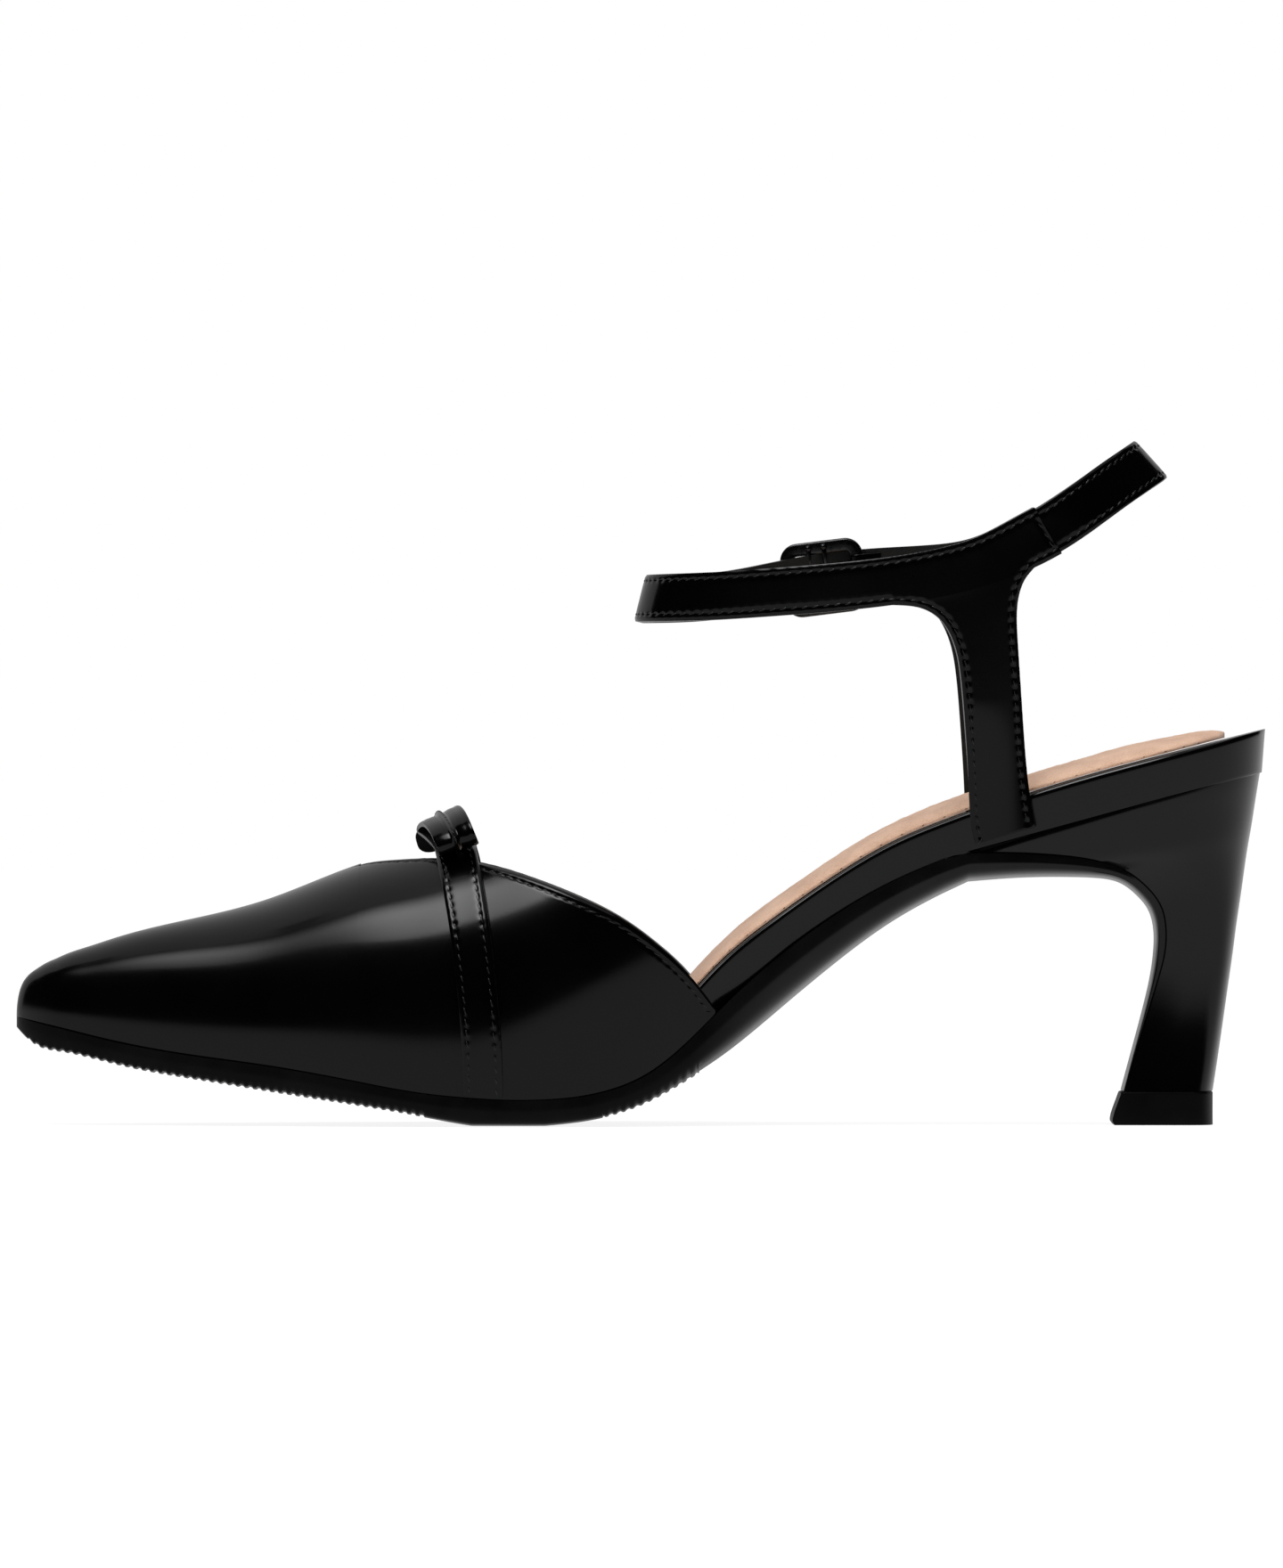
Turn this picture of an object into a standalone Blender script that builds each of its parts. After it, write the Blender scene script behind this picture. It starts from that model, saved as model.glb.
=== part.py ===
"""Pointed d'Orsay pump with a T-shaped ankle strap and a small bow, right foot.

Metres, +Z up. The toe points to -X and the inner side of the foot faces -Y.
Tables are in millimetres: along from the toe tip, across from the axis of the foot, up from the floor.
"""

import math
from typing import Callable, NamedTuple, Sequence

import bmesh
import bpy
import numpy
from mathutils import Matrix, Vector

MM = 0.001
GAP = 0.3
MEDIAL = -1
LATERAL = 1
Surface = Callable[[float, float], Vector]
Finish = bpy.types.Material

# Driving sizes of the shoe
LENGTH = 248.0
BALL_WIDTH = 76.0
MIDDLE_ALONG = 124.06
MIDDLE_ACROSS = -0.48
NOSE_LENGTH = 9.0
NOSE_HEIGHT_LENGTH = 7.5
HEEL_ROUND = 27.0
THROAT_ALONG = 68.4
THROAT_STEPS = (-2.4, 0, 0.6, 2.2, 5.0, 9.0)
WING_END = 138.7
SEAT_START = 188.6
SEAT_HEIGHT = 54.5
SEAT_PITCH = 0.272
HEEL_BROADEST = 0.42
HEEL_BREAST_SHARE = 0.90
HEEL_BACK_POWER = 2.3
HEEL_SHARES = (0, 0.14, 0.30, 0.48, 0.64, 0.78, 0.88, 0.95, 1)

# Leather and padding
UPPER_WALL = 1.6
UPPER_INSET = 0.8
UPPER_FULLNESS = 0.10
RIM_INSET = 1.0
RIM_TUCK = 3.0
RIM_START = 114.0
RIM_BACK_LEAN = 0.6
RIM_CLEAR = (139.0, 152.0)
INSOLE_START = 9.0
INSOLE_NOSE = 16.0
INSOLE_INSET = 3.2
INSOLE_DOME = 3.4
INSOLE_EDGE = 0.8
INSOLE_SHORT = 8.0
INSOLE_THINNING = 24.0

# Instep strap and bow
BAND_WIDTH = 8.0
BAND_WALL = 1.2
BAND_FOOT = 92.9
BAND_CREST = 86.0
BAND_END_TURN = 0.008
BOW_WALL = 1.0
BOW_INNER_TURN = 0.950
BOW_OUTER_TURN = 0.725
BOW_HEIGHT = 4.2
BOW_PINCH = 0.72
BOW_SQUARE = 0.8
BOW_SKEW = {MEDIAL: 3.4, LATERAL: -1.8}
KNOT_HALF_TURN = 0.036
KNOT_HALF_LENGTH = 5.4
KNOT_UNDER = 1.6
KNOT_OVER = 5.4
KNOT_SQUARE = 0.62

# Ankle strap
STRAP_WALL = 1.8
STRAP_WIDTH = 9.5
RING_FRONT = 123.8
RING_BACK = 227.6
RING_HALF_WIDTH = 27.5
SEAM_ALONG = 204.6
FORK_FRONT = 173.2
BAR_BLEND = (67.0, 98.0)
BAR_DOWNS = (0, 0.05, 0.11, 0.18, 0.28, 0.42, 0.60, 0.80, 1)
FORK_COLUMNS = 8
BACK_STRAP_WALL = 1.6
BACK_STRAP_WIDTH = 10.0
BACK_STRAP_TUCK = 199.0
FREE_END = 191.0
SHORT_END = 169.2
OVERLAP_RISE = (141.0, 163.0)
OVERLAP_HEIGHT = 2.6

# Buckle
BUCKLE_FRONT = 155.0
BUCKLE_HEEL = 167.4
BUCKLE_HALF_HEIGHT = 6.4
BUCKLE_WIRE = 1.0
BUCKLE_CORNER = 2.2
BUCKLE_PLAY = 0.2
PRONG_WIRE = 0.6
PRONG_CREST = 3.0
PRONG_TIP = 0.6
SLOT_ALONG = 162.2
SLOT_SIZE = (8.4, 2.6, 12.0)


class LastRow(NamedTuple):
    """Half widths of the last at the feather edge, as shares of the ball width."""

    along: float
    medial: float
    lateral: float


class SoleRow(NamedTuple):
    """Heights of the feather edge and of the ground side, and how far the tread has turned to shank."""

    along: float
    seat: float
    base: float
    shank: float


class VampRow(NamedTuple):
    """Height of the vamp's ridge above the feather edge."""

    along: float
    height: float


class ToplineRow(NamedTuple):
    """Height of the cut edge of the vamp above the floor."""

    along: float
    up: float


class RimRow(NamedTuple):
    """Height of the footbed above the feather edge."""

    along: float
    rise: float


class EdgeRow(NamedTuple):
    """Sole section from its top edge to its middle, as shares of half width and of height."""

    tread_inset: float
    tread_drop: float
    shank_inset: float
    shank_drop: float


class HeelRow(NamedTuple):
    """One ring of the heel from breast to back, and the sole's flap in front of it."""

    front: float
    front_up: float
    back: float
    back_up: float
    half: float
    plan_share: float
    flap: float
    flap_up: float


class LiftRow(NamedTuple):
    """One ring of the top lift: its height, the place of its front and its flare."""

    up: float
    front: float
    flare: float


class WrapRow(NamedTuple):
    """Half section of a footbed layer, from its lower edge inwards, as shares of half width and of height."""

    share: float
    rise: float


class RingRow(NamedTuple):
    """Ankle strap: its middle line's height, the lean of its width in degrees, its lift on the outer side."""

    along: float
    up: float
    lean: float
    lift: float


class BarRow(NamedTuple):
    """Edges of the T-bar from the ankle strap down to the seat."""

    share: float
    back: float
    back_up: float
    front: float
    front_up: float


LAST_PLAN = (
    LastRow(0, 0.092, 0.092),
    LastRow(10, 0.154, 0.153),
    LastRow(25, 0.233, 0.229),
    LastRow(50, 0.350, 0.337),
    LastRow(75, 0.455, 0.432),
    LastRow(95, 0.500, 0.487),
    LastRow(110, 0.482, 0.503),
    LastRow(125, 0.421, 0.489),
    LastRow(140, 0.340, 0.439),
    LastRow(160, 0.274, 0.374),
    LastRow(180, 0.276, 0.342),
    LastRow(200, 0.316, 0.342),
    LastRow(222, 0.345, 0.350),
    LastRow(248, 0.350, 0.350),
)

SOLE_PROFILE = (
    SoleRow(0, 21.4, 19.4, 0),
    SoleRow(3, 20.6, 16.4, 0),
    SoleRow(9, 19.1, 14.4, 0),
    SoleRow(20, 16.5, 11.9, 0),
    SoleRow(35, 13.9, 9.1, 0),
    SoleRow(50, 11.9, 6.7, 0),
    SoleRow(68, 8.8, 3.9, 0),
    SoleRow(80, 6.7, 1.9, 0),
    SoleRow(90, 5.7, 0.1, 0),
    SoleRow(97, 5.3, -0.5, 0),
    SoleRow(104, 5.3, -0.1, 0),
    SoleRow(111, 5.8, 0.6, 0),
    SoleRow(118, 7.2, 1.9, 0),
    SoleRow(125, 10.1, 4.3, 0.1),
    SoleRow(132, 15.4, 8.0, 0.4),
    SoleRow(140, 23.3, 13.2, 0.8),
    SoleRow(150, 32.4, 21.5, 1),
    SoleRow(160, 40.0, 29.9, 1),
    SoleRow(174, 48.4, 40.3, 1),
    SoleRow(188.6, 54.5, 48.1, 1),
)

EDGE_PROFILE = (
    EdgeRow(0, 0, 0, 0),
    EdgeRow(0, 0.5, 0.012, 0.45),
    EdgeRow(0.025, 0.8, 0.08, 0.70),
    EdgeRow(0.06, 0.94, 0.22, 0.88),
    EdgeRow(0.40, 1, 0.55, 0.97),
    EdgeRow(1, 1, 1, 1),
)

VAMP_RIDGE = (
    VampRow(0, 13.2),
    VampRow(2.5, 12.2),
    VampRow(5, 12.0),
    VampRow(8, 13.8),
    VampRow(20, 20.8),
    VampRow(35, 27.0),
    VampRow(50, 32.9),
    VampRow(68.4, 43.1),
    VampRow(80, 48.4),
    VampRow(92, 53.6),
    VampRow(105, 58.6),
    VampRow(120, 61.5),
    VampRow(140, 58.0),
)

TOPLINE = (
    ToplineRow(66, 51.0),
    ToplineRow(70, 52.1),
    ToplineRow(76, 52.8),
    ToplineRow(83, 53.1),
    ToplineRow(92, 52.2),
    ToplineRow(103, 48.9),
    ToplineRow(113, 44.8),
    ToplineRow(121, 40.5),
    ToplineRow(128, 35.3),
    ToplineRow(134, 29.6),
    ToplineRow(139.4, 22.6),
)

FOOTBED = (
    RimRow(104, 0.0),
    RimRow(111, 0.4),
    RimRow(118, 2.6),
    RimRow(127, 6.8),
    RimRow(136, 9.2),
    RimRow(150, 8.3),
    RimRow(174, 7.7),
    RimRow(190, 7.6),
    RimRow(209, 8.2),
    RimRow(230, 8.2),
    RimRow(248, 7.9),
)

HEEL = (
    HeelRow(188.6, 54.2, 247.0, 70.1, 26.0, 1.00, 189.0, 48.2),
    HeelRow(199.7, 54.1, 246.4, 66.4, 25.0, 0.85, 200.0, 49.0),
    HeelRow(209.1, 53.4, 245.8, 62.6, 23.2, 0.65, 209.4, 49.1),
    HeelRow(214.8, 52.4, 245.2, 58.8, 21.0, 0.42, 214.6, 48.9),
    HeelRow(219.9, 50.6, 244.5, 54.8, 18.4, 0.20, 219.0, 48.0),
    HeelRow(224.3, 47.3, 243.8, 50.0, 15.6, 0.06, 222.6, 45.4),
    HeelRow(227.2, 43.4, 243.1, 45.0, 13.4, 0.0, 225.0, 42.2),
    HeelRow(228.2, 39.0, 242.3, 39.6, 11.9, 0.0, 225.9, 38.2),
    HeelRow(228.0, 34.2, 241.6, 34.2, 11.1, 0.0, 225.8, 34.0),
    HeelRow(226.6, 28.6, 240.8, 28.6, 10.8, 0.0, 225.0, 28.4),
    HeelRow(224.3, 20.9, 239.7, 20.9, 10.9, 0.0, 223.2, 20.8),
    HeelRow(222.0, 13.3, 238.6, 13.3, 11.5, 0.0, 221.2, 13.2),
    HeelRow(220.2, 6.8, 237.6, 6.8, 12.4, 0.0, 219.5, 6.8),
)

TOP_LIFT = (
    LiftRow(6.4, 219.2, 1.0),
    LiftRow(1.0, 217.2, 1.02),
    LiftRow(0.0, 217.9, 1.0),
)

RIM_SECTION = (
    WrapRow(1, 0),
    WrapRow(1, 0.62),
    WrapRow(0.985, 0.84),
    WrapRow(0.95, 0.96),
    WrapRow(0.90, 1),
    WrapRow(0.45, 1),
)

INSOLE_SECTION = (
    WrapRow(1, 0),
    WrapRow(1, 0.22),
    WrapRow(0.93, 0.46),
    WrapRow(0.80, 0.68),
    WrapRow(0.50, 0.91),
    WrapRow(0.16, 1),
)

ANKLE_RING = (
    RingRow(123.8, 104.6, 14, 0),
    RingRow(138, 104.8, 5, 0.3),
    RingRow(150, 105.5, 1, 1.6),
    RingRow(166, 106.8, -3, 2.8),
    RingRow(181, 108.9, -8, 1.7),
    RingRow(192, 111.8, -18, 0.4),
    RingRow(201, 115.8, -28, 0),
    RingRow(209, 120.2, -34, 0),
    RingRow(217, 125.3, -37, 0),
    RingRow(227.6, 132.3, -42, 0),
)

T_BAR = (
    BarRow(0.0, 207.2, 113.2, 173.6, 103.0),
    BarRow(0.05, 204.2, 111.2, 178.0, 102.7),
    BarRow(0.10, 201.4, 109.2, 181.2, 101.6),
    BarRow(0.16, 199.3, 106.6, 183.8, 99.4),
    BarRow(0.23, 198.5, 103.2, 185.7, 95.9),
    BarRow(0.35, 198.6, 95.6, 187.1, 90.0),
    BarRow(0.55, 199.4, 83.0, 188.1, 79.0),
    BarRow(0.75, 200.2, 71.5, 188.7, 68.0),
    BarRow(0.90, 201.1, 63.6, 189.2, 59.8),
    BarRow(1.0, 201.8, 59.2, 190.1, 55.6),
)


class Spline:
    """Natural cubic curve through a short table of places and values."""

    def __init__(self, places: Sequence[float], values: Sequence[float]) -> None:
        self.places = numpy.array(places, dtype=float)
        self.values = numpy.array(values, dtype=float)
        count = len(places)
        step = numpy.diff(self.places)
        slope = numpy.diff(self.values) / step
        system = numpy.eye(count)
        right = numpy.zeros(count)
        for row in range(1, count - 1):
            system[row, row - 1 : row + 2] = (step[row - 1], 2 * (step[row - 1] + step[row]), step[row])
            right[row] = 6 * (slope[row] - slope[row - 1])
        self.bend = numpy.linalg.solve(system, right)

    def at(self, place: float) -> float:
        """Value at a place, held level past both ends."""
        place = min(max(place, self.places[0]), self.places[-1])
        last = len(self.places) - 2
        row = min(int(numpy.searchsorted(self.places, place, side="right")) - 1, last)
        width = self.places[row + 1] - self.places[row]
        ahead = (self.places[row + 1] - place) / width
        behind = (place - self.places[row]) / width
        cubic = (ahead**3 - ahead) * self.bend[row] + (behind**3 - behind) * self.bend[row + 1]
        return float(ahead * self.values[row] + behind * self.values[row + 1] + cubic * width**2 / 6)


def column(table: Sequence[NamedTuple], name: str, places: Sequence[float] | None = None) -> Spline:
    """Curve through one named column of a table, by its along column unless places are given."""
    where = [row.along for row in table] if places is None else places
    return Spline(where, [getattr(row, name) for row in table])


MEDIAL_HALF = column(LAST_PLAN, "medial")
LATERAL_HALF = column(LAST_PLAN, "lateral")
SEAT = column(SOLE_PROFILE, "seat")
BASE = column(SOLE_PROFILE, "base")
SHANK = column(SOLE_PROFILE, "shank")
RIDGE = column(VAMP_RIDGE, "height")
TOPLINE_UP = column(TOPLINE, "up")
RISE = column(FOOTBED, "rise")
RING_UP = column(ANKLE_RING, "up")
RING_LEAN = column(ANKLE_RING, "lean")
RING_LIFT = column(ANKLE_RING, "lift")
HEEL_STEPS = list(range(len(HEEL)))
HEEL_CURVES = {name: column(HEEL, name, HEEL_STEPS) for name in HeelRow._fields}
BAR_SHARES = [row.share for row in T_BAR]
BAR_CURVES = {name: column(T_BAR, name, BAR_SHARES) for name in BarRow._fields}


def blend(low: float, high: float, value: float) -> float:
    """Smooth step from 0 at low to 1 at high."""
    share = min(max((value - low) / (high - low), 0.0), 1.0)
    return share * share * (3 - 2 * share)


def mix(first: float, second: float, share: float) -> float:
    """Value between two others."""
    return first + (second - first) * share


def squared(value: float, power: float) -> float:
    """Sine or cosine pushed outwards, which squares up an ellipse."""
    return math.copysign(abs(value) ** power, value)


def round_start(along: float, length: float) -> float:
    """Elliptic growth from 0 at the start to 1 at the given length."""
    left = max(1 - along / length, 0.0)
    return math.sqrt(max(1 - left * left, 0.0))


def half_width(along: float, side: int, inset: float) -> float:
    """Half width of the last on one side, rounded at the toe tip and at the back."""
    share = (MEDIAL_HALF if side == MEDIAL else LATERAL_HALF).at(along)
    taper = share * BALL_WIDTH - inset
    return taper * round_start(along, NOSE_LENGTH) * round_start(LENGTH - along, HEEL_ROUND)


def seat_up(along: float) -> float:
    """Height of the feather edge, which runs on as the straight seat of the heel."""
    if along > SEAT_START:
        return SEAT_HEIGHT + SEAT_PITCH * (along - SEAT_START)
    return SEAT.at(along)


def footbed_up(along: float) -> float:
    """Height of the footbed's upper face."""
    return seat_up(along) + max(RISE.at(along), 0.0)


def to_frame(point: Vector) -> Vector:
    """Point of the shoe in millimetres, moved to the part's frame in metres."""
    return Vector((point.x - MIDDLE_ALONG, point.y - MIDDLE_ACROSS, point.z)) * MM


def vamp_point(along: float, turn: float) -> Vector:
    """Outer skin of the last: turn 0 at the medial feather edge, 1 at the ridge, 2 at the lateral edge."""
    side = MEDIAL if turn <= 1 else LATERAL
    angle = turn * math.pi / 2
    half = half_width(along, side, UPPER_INSET)
    full = half * UPPER_FULLNESS * abs(math.sin(2 * angle))
    height = RIDGE.at(along) * round_start(along, NOSE_HEIGHT_LENGTH)
    across = half * abs(math.cos(angle)) + full
    return Vector((along, side * across, seat_up(along) + height * math.sin(angle)))


def vamp_lifted(along: float, turn: float, lift: float) -> Vector:
    """Point above the skin of the last, along its normal."""
    step = 0.01
    ahead = vamp_point(along + step * 10, turn) - vamp_point(along - step * 10, turn)
    round_it = vamp_point(along, turn + step) - vamp_point(along, turn - step)
    return vamp_point(along, turn) + ahead.cross(round_it).normalized() * lift


def top_turn(along: float) -> float:
    """Turn at which the cut edge of the vamp crosses a section."""
    if along <= THROAT_ALONG:
        return 1.0
    share = (TOPLINE_UP.at(along) - seat_up(along)) / RIDGE.at(along)
    return math.asin(min(max(share, 0.0), 1.0)) / (math.pi / 2)


def strip(mesh: bmesh.types.BMesh, across: int, along: int, surface: Surface) -> None:
    """Adds a grid and lays it on a surface of two shares from 0 to 1."""
    made = bmesh.ops.create_grid(mesh, x_segments=across, y_segments=along, size=1.0)
    for vert in made["verts"]:
        vert.co = to_frame(surface((vert.co.x + 1) / 2, (vert.co.y + 1) / 2))


def weld(mesh: bmesh.types.BMesh) -> None:
    """Joins the seams where grids share their edge points."""
    bmesh.ops.remove_doubles(mesh, verts=mesh.verts, dist=0.000002)


def face_away(mesh: bmesh.types.BMesh, inside: Vector) -> None:
    """Turns every face of an open sheet away from a point inside it."""
    bmesh.ops.recalc_face_normals(mesh, faces=mesh.faces)
    centre = to_frame(inside)
    outward = 0.0
    for face in mesh.faces:
        outward += (face.calc_center_median() - centre).dot(face.normal) * face.calc_area()
    if outward < 0:
        bmesh.ops.reverse_faces(mesh, faces=mesh.faces)


def add_object(name: str, mesh: bmesh.types.BMesh, material: Finish) -> bpy.types.Object:
    """Makes a named object with its material from a mesh."""
    data = bpy.data.meshes.new(name)
    mesh.to_mesh(data)
    mesh.free()
    data.materials.append(material)
    data.shade_smooth()
    data.set_sharp_from_angle(angle=math.radians(40))
    made = bpy.data.objects.new(name, data)
    bpy.context.scene.collection.objects.link(made)
    return made


def thicken(made: bpy.types.Object, wall: float) -> None:
    """Gives a sheet its wall, on the inner side of its faces."""
    solid = made.modifiers.new("wall", "SOLIDIFY")
    solid.thickness = wall * MM
    solid.offset = -1.0
    solid.use_even_offset = True
    solid.use_quality_normals = True


def loft(name: str, rings: Sequence[Sequence[Vector]], material: Finish) -> bpy.types.Object:
    """Closed solid through rings of equal count, capped at both ends."""
    mesh = bmesh.new()
    sides = len(rings[0])
    last = len(rings) - 1

    def surface(round_share: float, along_share: float) -> Vector:
        return rings[round(along_share * last)][round(round_share * sides) % sides]

    strip(mesh, sides, last, surface)
    weld(mesh)
    rims = [edge for edge in mesh.edges if edge.is_boundary]
    bmesh.ops.holes_fill(mesh, edges=rims, sides=0)
    bmesh.ops.recalc_face_normals(mesh, faces=mesh.faces)
    return add_object(name, mesh, material)


def even(first: float, last: float, count: int) -> list[float]:
    """Evenly spaced places, both ends included."""
    return [mix(first, last, step / count) for step in range(count + 1)]


def toe_places(start: float, length: float, count: int) -> list[float]:
    """Places that close up towards a round start."""
    angles = even(0.18, math.pi / 2, count)
    return [start + length * (1 - math.cos(angle)) for angle in angles]


def back_places(length: float, count: int) -> list[float]:
    """Places that close up towards the round back."""
    angles = even(0.0, math.pi / 2 - 0.05, count)
    return [LENGTH - length + length * math.sin(angle) for angle in angles]


def sole_ring(edge: Vector, base: Vector, halves: tuple[float, float], shank: float) -> list[Vector]:
    """Section of the sole from one top edge, round its ground side, to the other and back across the top."""
    profile = []
    for row in EDGE_PROFILE:
        inset = mix(row.tread_inset, row.shank_inset, shank)
        drop = mix(row.tread_drop, row.shank_drop, shank)
        profile.append((1 - inset, drop))
    ring = []
    for share, drop in profile:
        ring.append(edge.lerp(base, drop) + Vector((0, -halves[0] * share, 0)))
    for share, drop in reversed(profile[:-1]):
        ring.append(edge.lerp(base, drop) + Vector((0, halves[1] * share, 0)))
    for share in (0.5, 0.0, -0.5):
        ring.append(edge + Vector((0, share * (halves[1] if share > 0 else halves[0]), 0)))
    return ring


def heel_row(step: float) -> HeelRow:
    """Ring of the heel at a step between the table's rows."""
    return HeelRow(*(HEEL_CURVES[name].at(step) for name in HeelRow._fields))


def heel_half(row: HeelRow, share: float, side: int) -> float:
    """Half width of a heel ring at a share of its depth, from breast to back."""
    plan = half_width(mix(row.front, LENGTH, share), side, RIM_INSET)
    if share < HEEL_BROADEST:
        shape = mix(HEEL_BREAST_SHARE, 1.0, math.sin(share / HEEL_BROADEST * math.pi / 2))
    else:
        behind = (share - HEEL_BROADEST) / (1 - HEEL_BROADEST)
        shape = math.sqrt(max(1 - behind**HEEL_BACK_POWER, 0.0))
    return mix(row.half * shape, plan, max(row.plan_share, 0.0))


def heel_ring(row: HeelRow, front: Vector, back: Vector, flare: float) -> list[Vector]:
    """Ring of the heel from its breast round its back, between two points of its profile."""
    ring = []
    for share in HEEL_SHARES:
        ring.append(front.lerp(back, share) + Vector((0, -flare * heel_half(row, share, MEDIAL), 0)))
    for share in reversed(HEEL_SHARES[:-1]):
        ring.append(front.lerp(back, share) + Vector((0, flare * heel_half(row, share, LATERAL), 0)))
    return ring


def build_outsole(material: Finish) -> None:
    """Tread and shank cover, running on as a thin flap down the breast of the heel."""
    rings = []
    places = toe_places(0.0, NOSE_LENGTH, 4) + even(14.0, 182.0, 24)
    for along in places:
        halves = (half_width(along, MEDIAL, 0.0), half_width(along, LATERAL, 0.0))
        edge = Vector((along, 0, seat_up(along) - GAP))
        base = Vector((along, 0, max(BASE.at(along), 0.0)))
        rings.append(sole_ring(edge, base, halves, min(max(SHANK.at(along), 0.0), 1.0)))
    for step in even(0, HEEL_STEPS[-1], 16):
        row = heel_row(step)
        front = Vector((row.front, 0, row.front_up))
        flap = Vector((row.flap, 0, row.flap_up))
        edge = front + (flap - front).normalized() * GAP
        halves = (heel_half(row, 0.0, MEDIAL), heel_half(row, 0.0, LATERAL))
        rings.append(sole_ring(edge, flap, halves, 1.0))
    loft("outsole", rings, material)


def build_heel(material: Finish) -> None:
    """Covered heel block in a fan of rings, from the sloping seat to the level top lift."""
    rings = []
    for step in even(0, HEEL_STEPS[-1], 18):
        row = heel_row(step)
        front = Vector((row.front, 0, row.front_up))
        back = Vector((row.back, 0, row.back_up))
        rings.append(heel_ring(row, front, back, 1.0))
    loft("heel", rings, material)


def build_top_lift(material: Finish) -> None:
    """Rubber tip, the heel's last ring carried down to the floor with a small flare to the front."""
    row = HEEL[-1]
    rings = []
    for lift in TOP_LIFT:
        front = Vector((lift.front, 0, lift.up))
        back = Vector((row.back, 0, lift.up))
        rings.append(heel_ring(row, front, back, lift.flare))
    loft("top_lift", rings, material)


def rim_half(along: float, side: int) -> float:
    """Half width of the wrapped footbed, tucked inside the vamp in front."""
    inset = mix(RIM_TUCK, RIM_INSET, blend(*RIM_CLEAR, along))
    return half_width(along, side, inset)


def build_footbed_rim(material: Finish) -> None:
    """Leather wrapped footbed from the waist to the back."""
    rings = []
    for along in even(RIM_START, LENGTH - HEEL_ROUND - 7, 13) + back_places(HEEL_ROUND, 7):
        low = seat_up(along)
        high = footbed_up(along)
        ring = []
        for side, order in ((MEDIAL, RIM_SECTION), (LATERAL, RIM_SECTION[::-1])):
            for share, rise in order:
                place = along - RIM_BACK_LEAN * (1 - rise) * blend(LENGTH - HEEL_ROUND, LENGTH, along)
                ring.append(Vector((place, side * share * rim_half(along, side), mix(low, high, rise))))
        rings.append(ring)
    loft("footbed_rim", rings, material)


def build_insole(material: Finish) -> None:
    """Padded sock from inside the toe to the back, domed across and thinned out at its end."""
    places = toe_places(INSOLE_START, INSOLE_NOSE, 4) + even(33.0, LENGTH - HEEL_ROUND - 14, 22)
    rings = []
    for along in places + [place - INSOLE_SHORT for place in back_places(HEEL_ROUND, 7)]:
        nose = round_start(along - INSOLE_START, INSOLE_NOSE)
        low = footbed_up(along) + GAP
        dome = mix(INSOLE_EDGE, INSOLE_DOME, round_start(LENGTH - INSOLE_SHORT - along, INSOLE_THINNING))
        tuck = (RIM_TUCK - RIM_INSET) * (1 - blend(*RIM_CLEAR, along))
        ring = []
        for side, order in ((MEDIAL, INSOLE_SECTION), (LATERAL, INSOLE_SECTION[::-1])):
            half = half_width(along, side, INSOLE_INSET + tuck) * nose
            half *= round_start(LENGTH - INSOLE_SHORT - along, HEEL_ROUND - INSOLE_SHORT)
            for share, rise in order:
                ring.append(Vector((along, side * share * half, low + rise * dome)))
        rings.append(ring)
    loft("insole", rings, material)


def build_upper(material: Finish) -> None:
    """Hollow vamp: two halves joined along the ridge as far as the throat, then two wings."""
    front = toe_places(0.1, NOSE_LENGTH, 5) + even(16.0, 61.0, 6)
    throat = [THROAT_ALONG + step for step in THROAT_STEPS]
    places = front + throat + even(82.5, WING_END, 9)
    last = len(places) - 1
    mesh = bmesh.new()

    def half(share: float, place: float, side: int) -> Vector:
        along = places[round(place * last)]
        turn = share * top_turn(along)
        return vamp_point(along, turn if side == MEDIAL else 2 - turn)

    for side in (MEDIAL, LATERAL):
        strip(mesh, 12, last, lambda share, place, side=side: half(share, place, side))
    weld(mesh)
    tip = min(vert.co.x for vert in mesh.verts)
    nose = [vert for vert in mesh.verts if vert.co.x - tip < 0.000001]
    bmesh.ops.contextual_create(mesh, geom=nose)
    face_away(mesh, Vector((70.0, 0.0, 20.0)))
    thicken(add_object("upper", mesh, material), UPPER_WALL)


def band_along(turn: float) -> float:
    """Middle of the instep strap, which leans forward as it rises."""
    return mix(BAND_FOOT, BAND_CREST, math.sin(turn * math.pi / 2))


def build_instep_strap(material: Finish) -> None:
    """Band laid over the skin of the last from one feather edge to the other, bridging the throat."""
    mesh = bmesh.new()

    def surface(width: float, share: float) -> Vector:
        turn = mix(BAND_END_TURN, 2 - BAND_END_TURN, share)
        return vamp_lifted(band_along(turn) + (width - 0.5) * BAND_WIDTH, turn, GAP + BAND_WALL)

    strip(mesh, 2, 36, surface)
    face_away(mesh, Vector((BAND_FOOT, 0.0, 15.0)))
    thicken(add_object("instep_strap", mesh, material), BAND_WALL)


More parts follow.
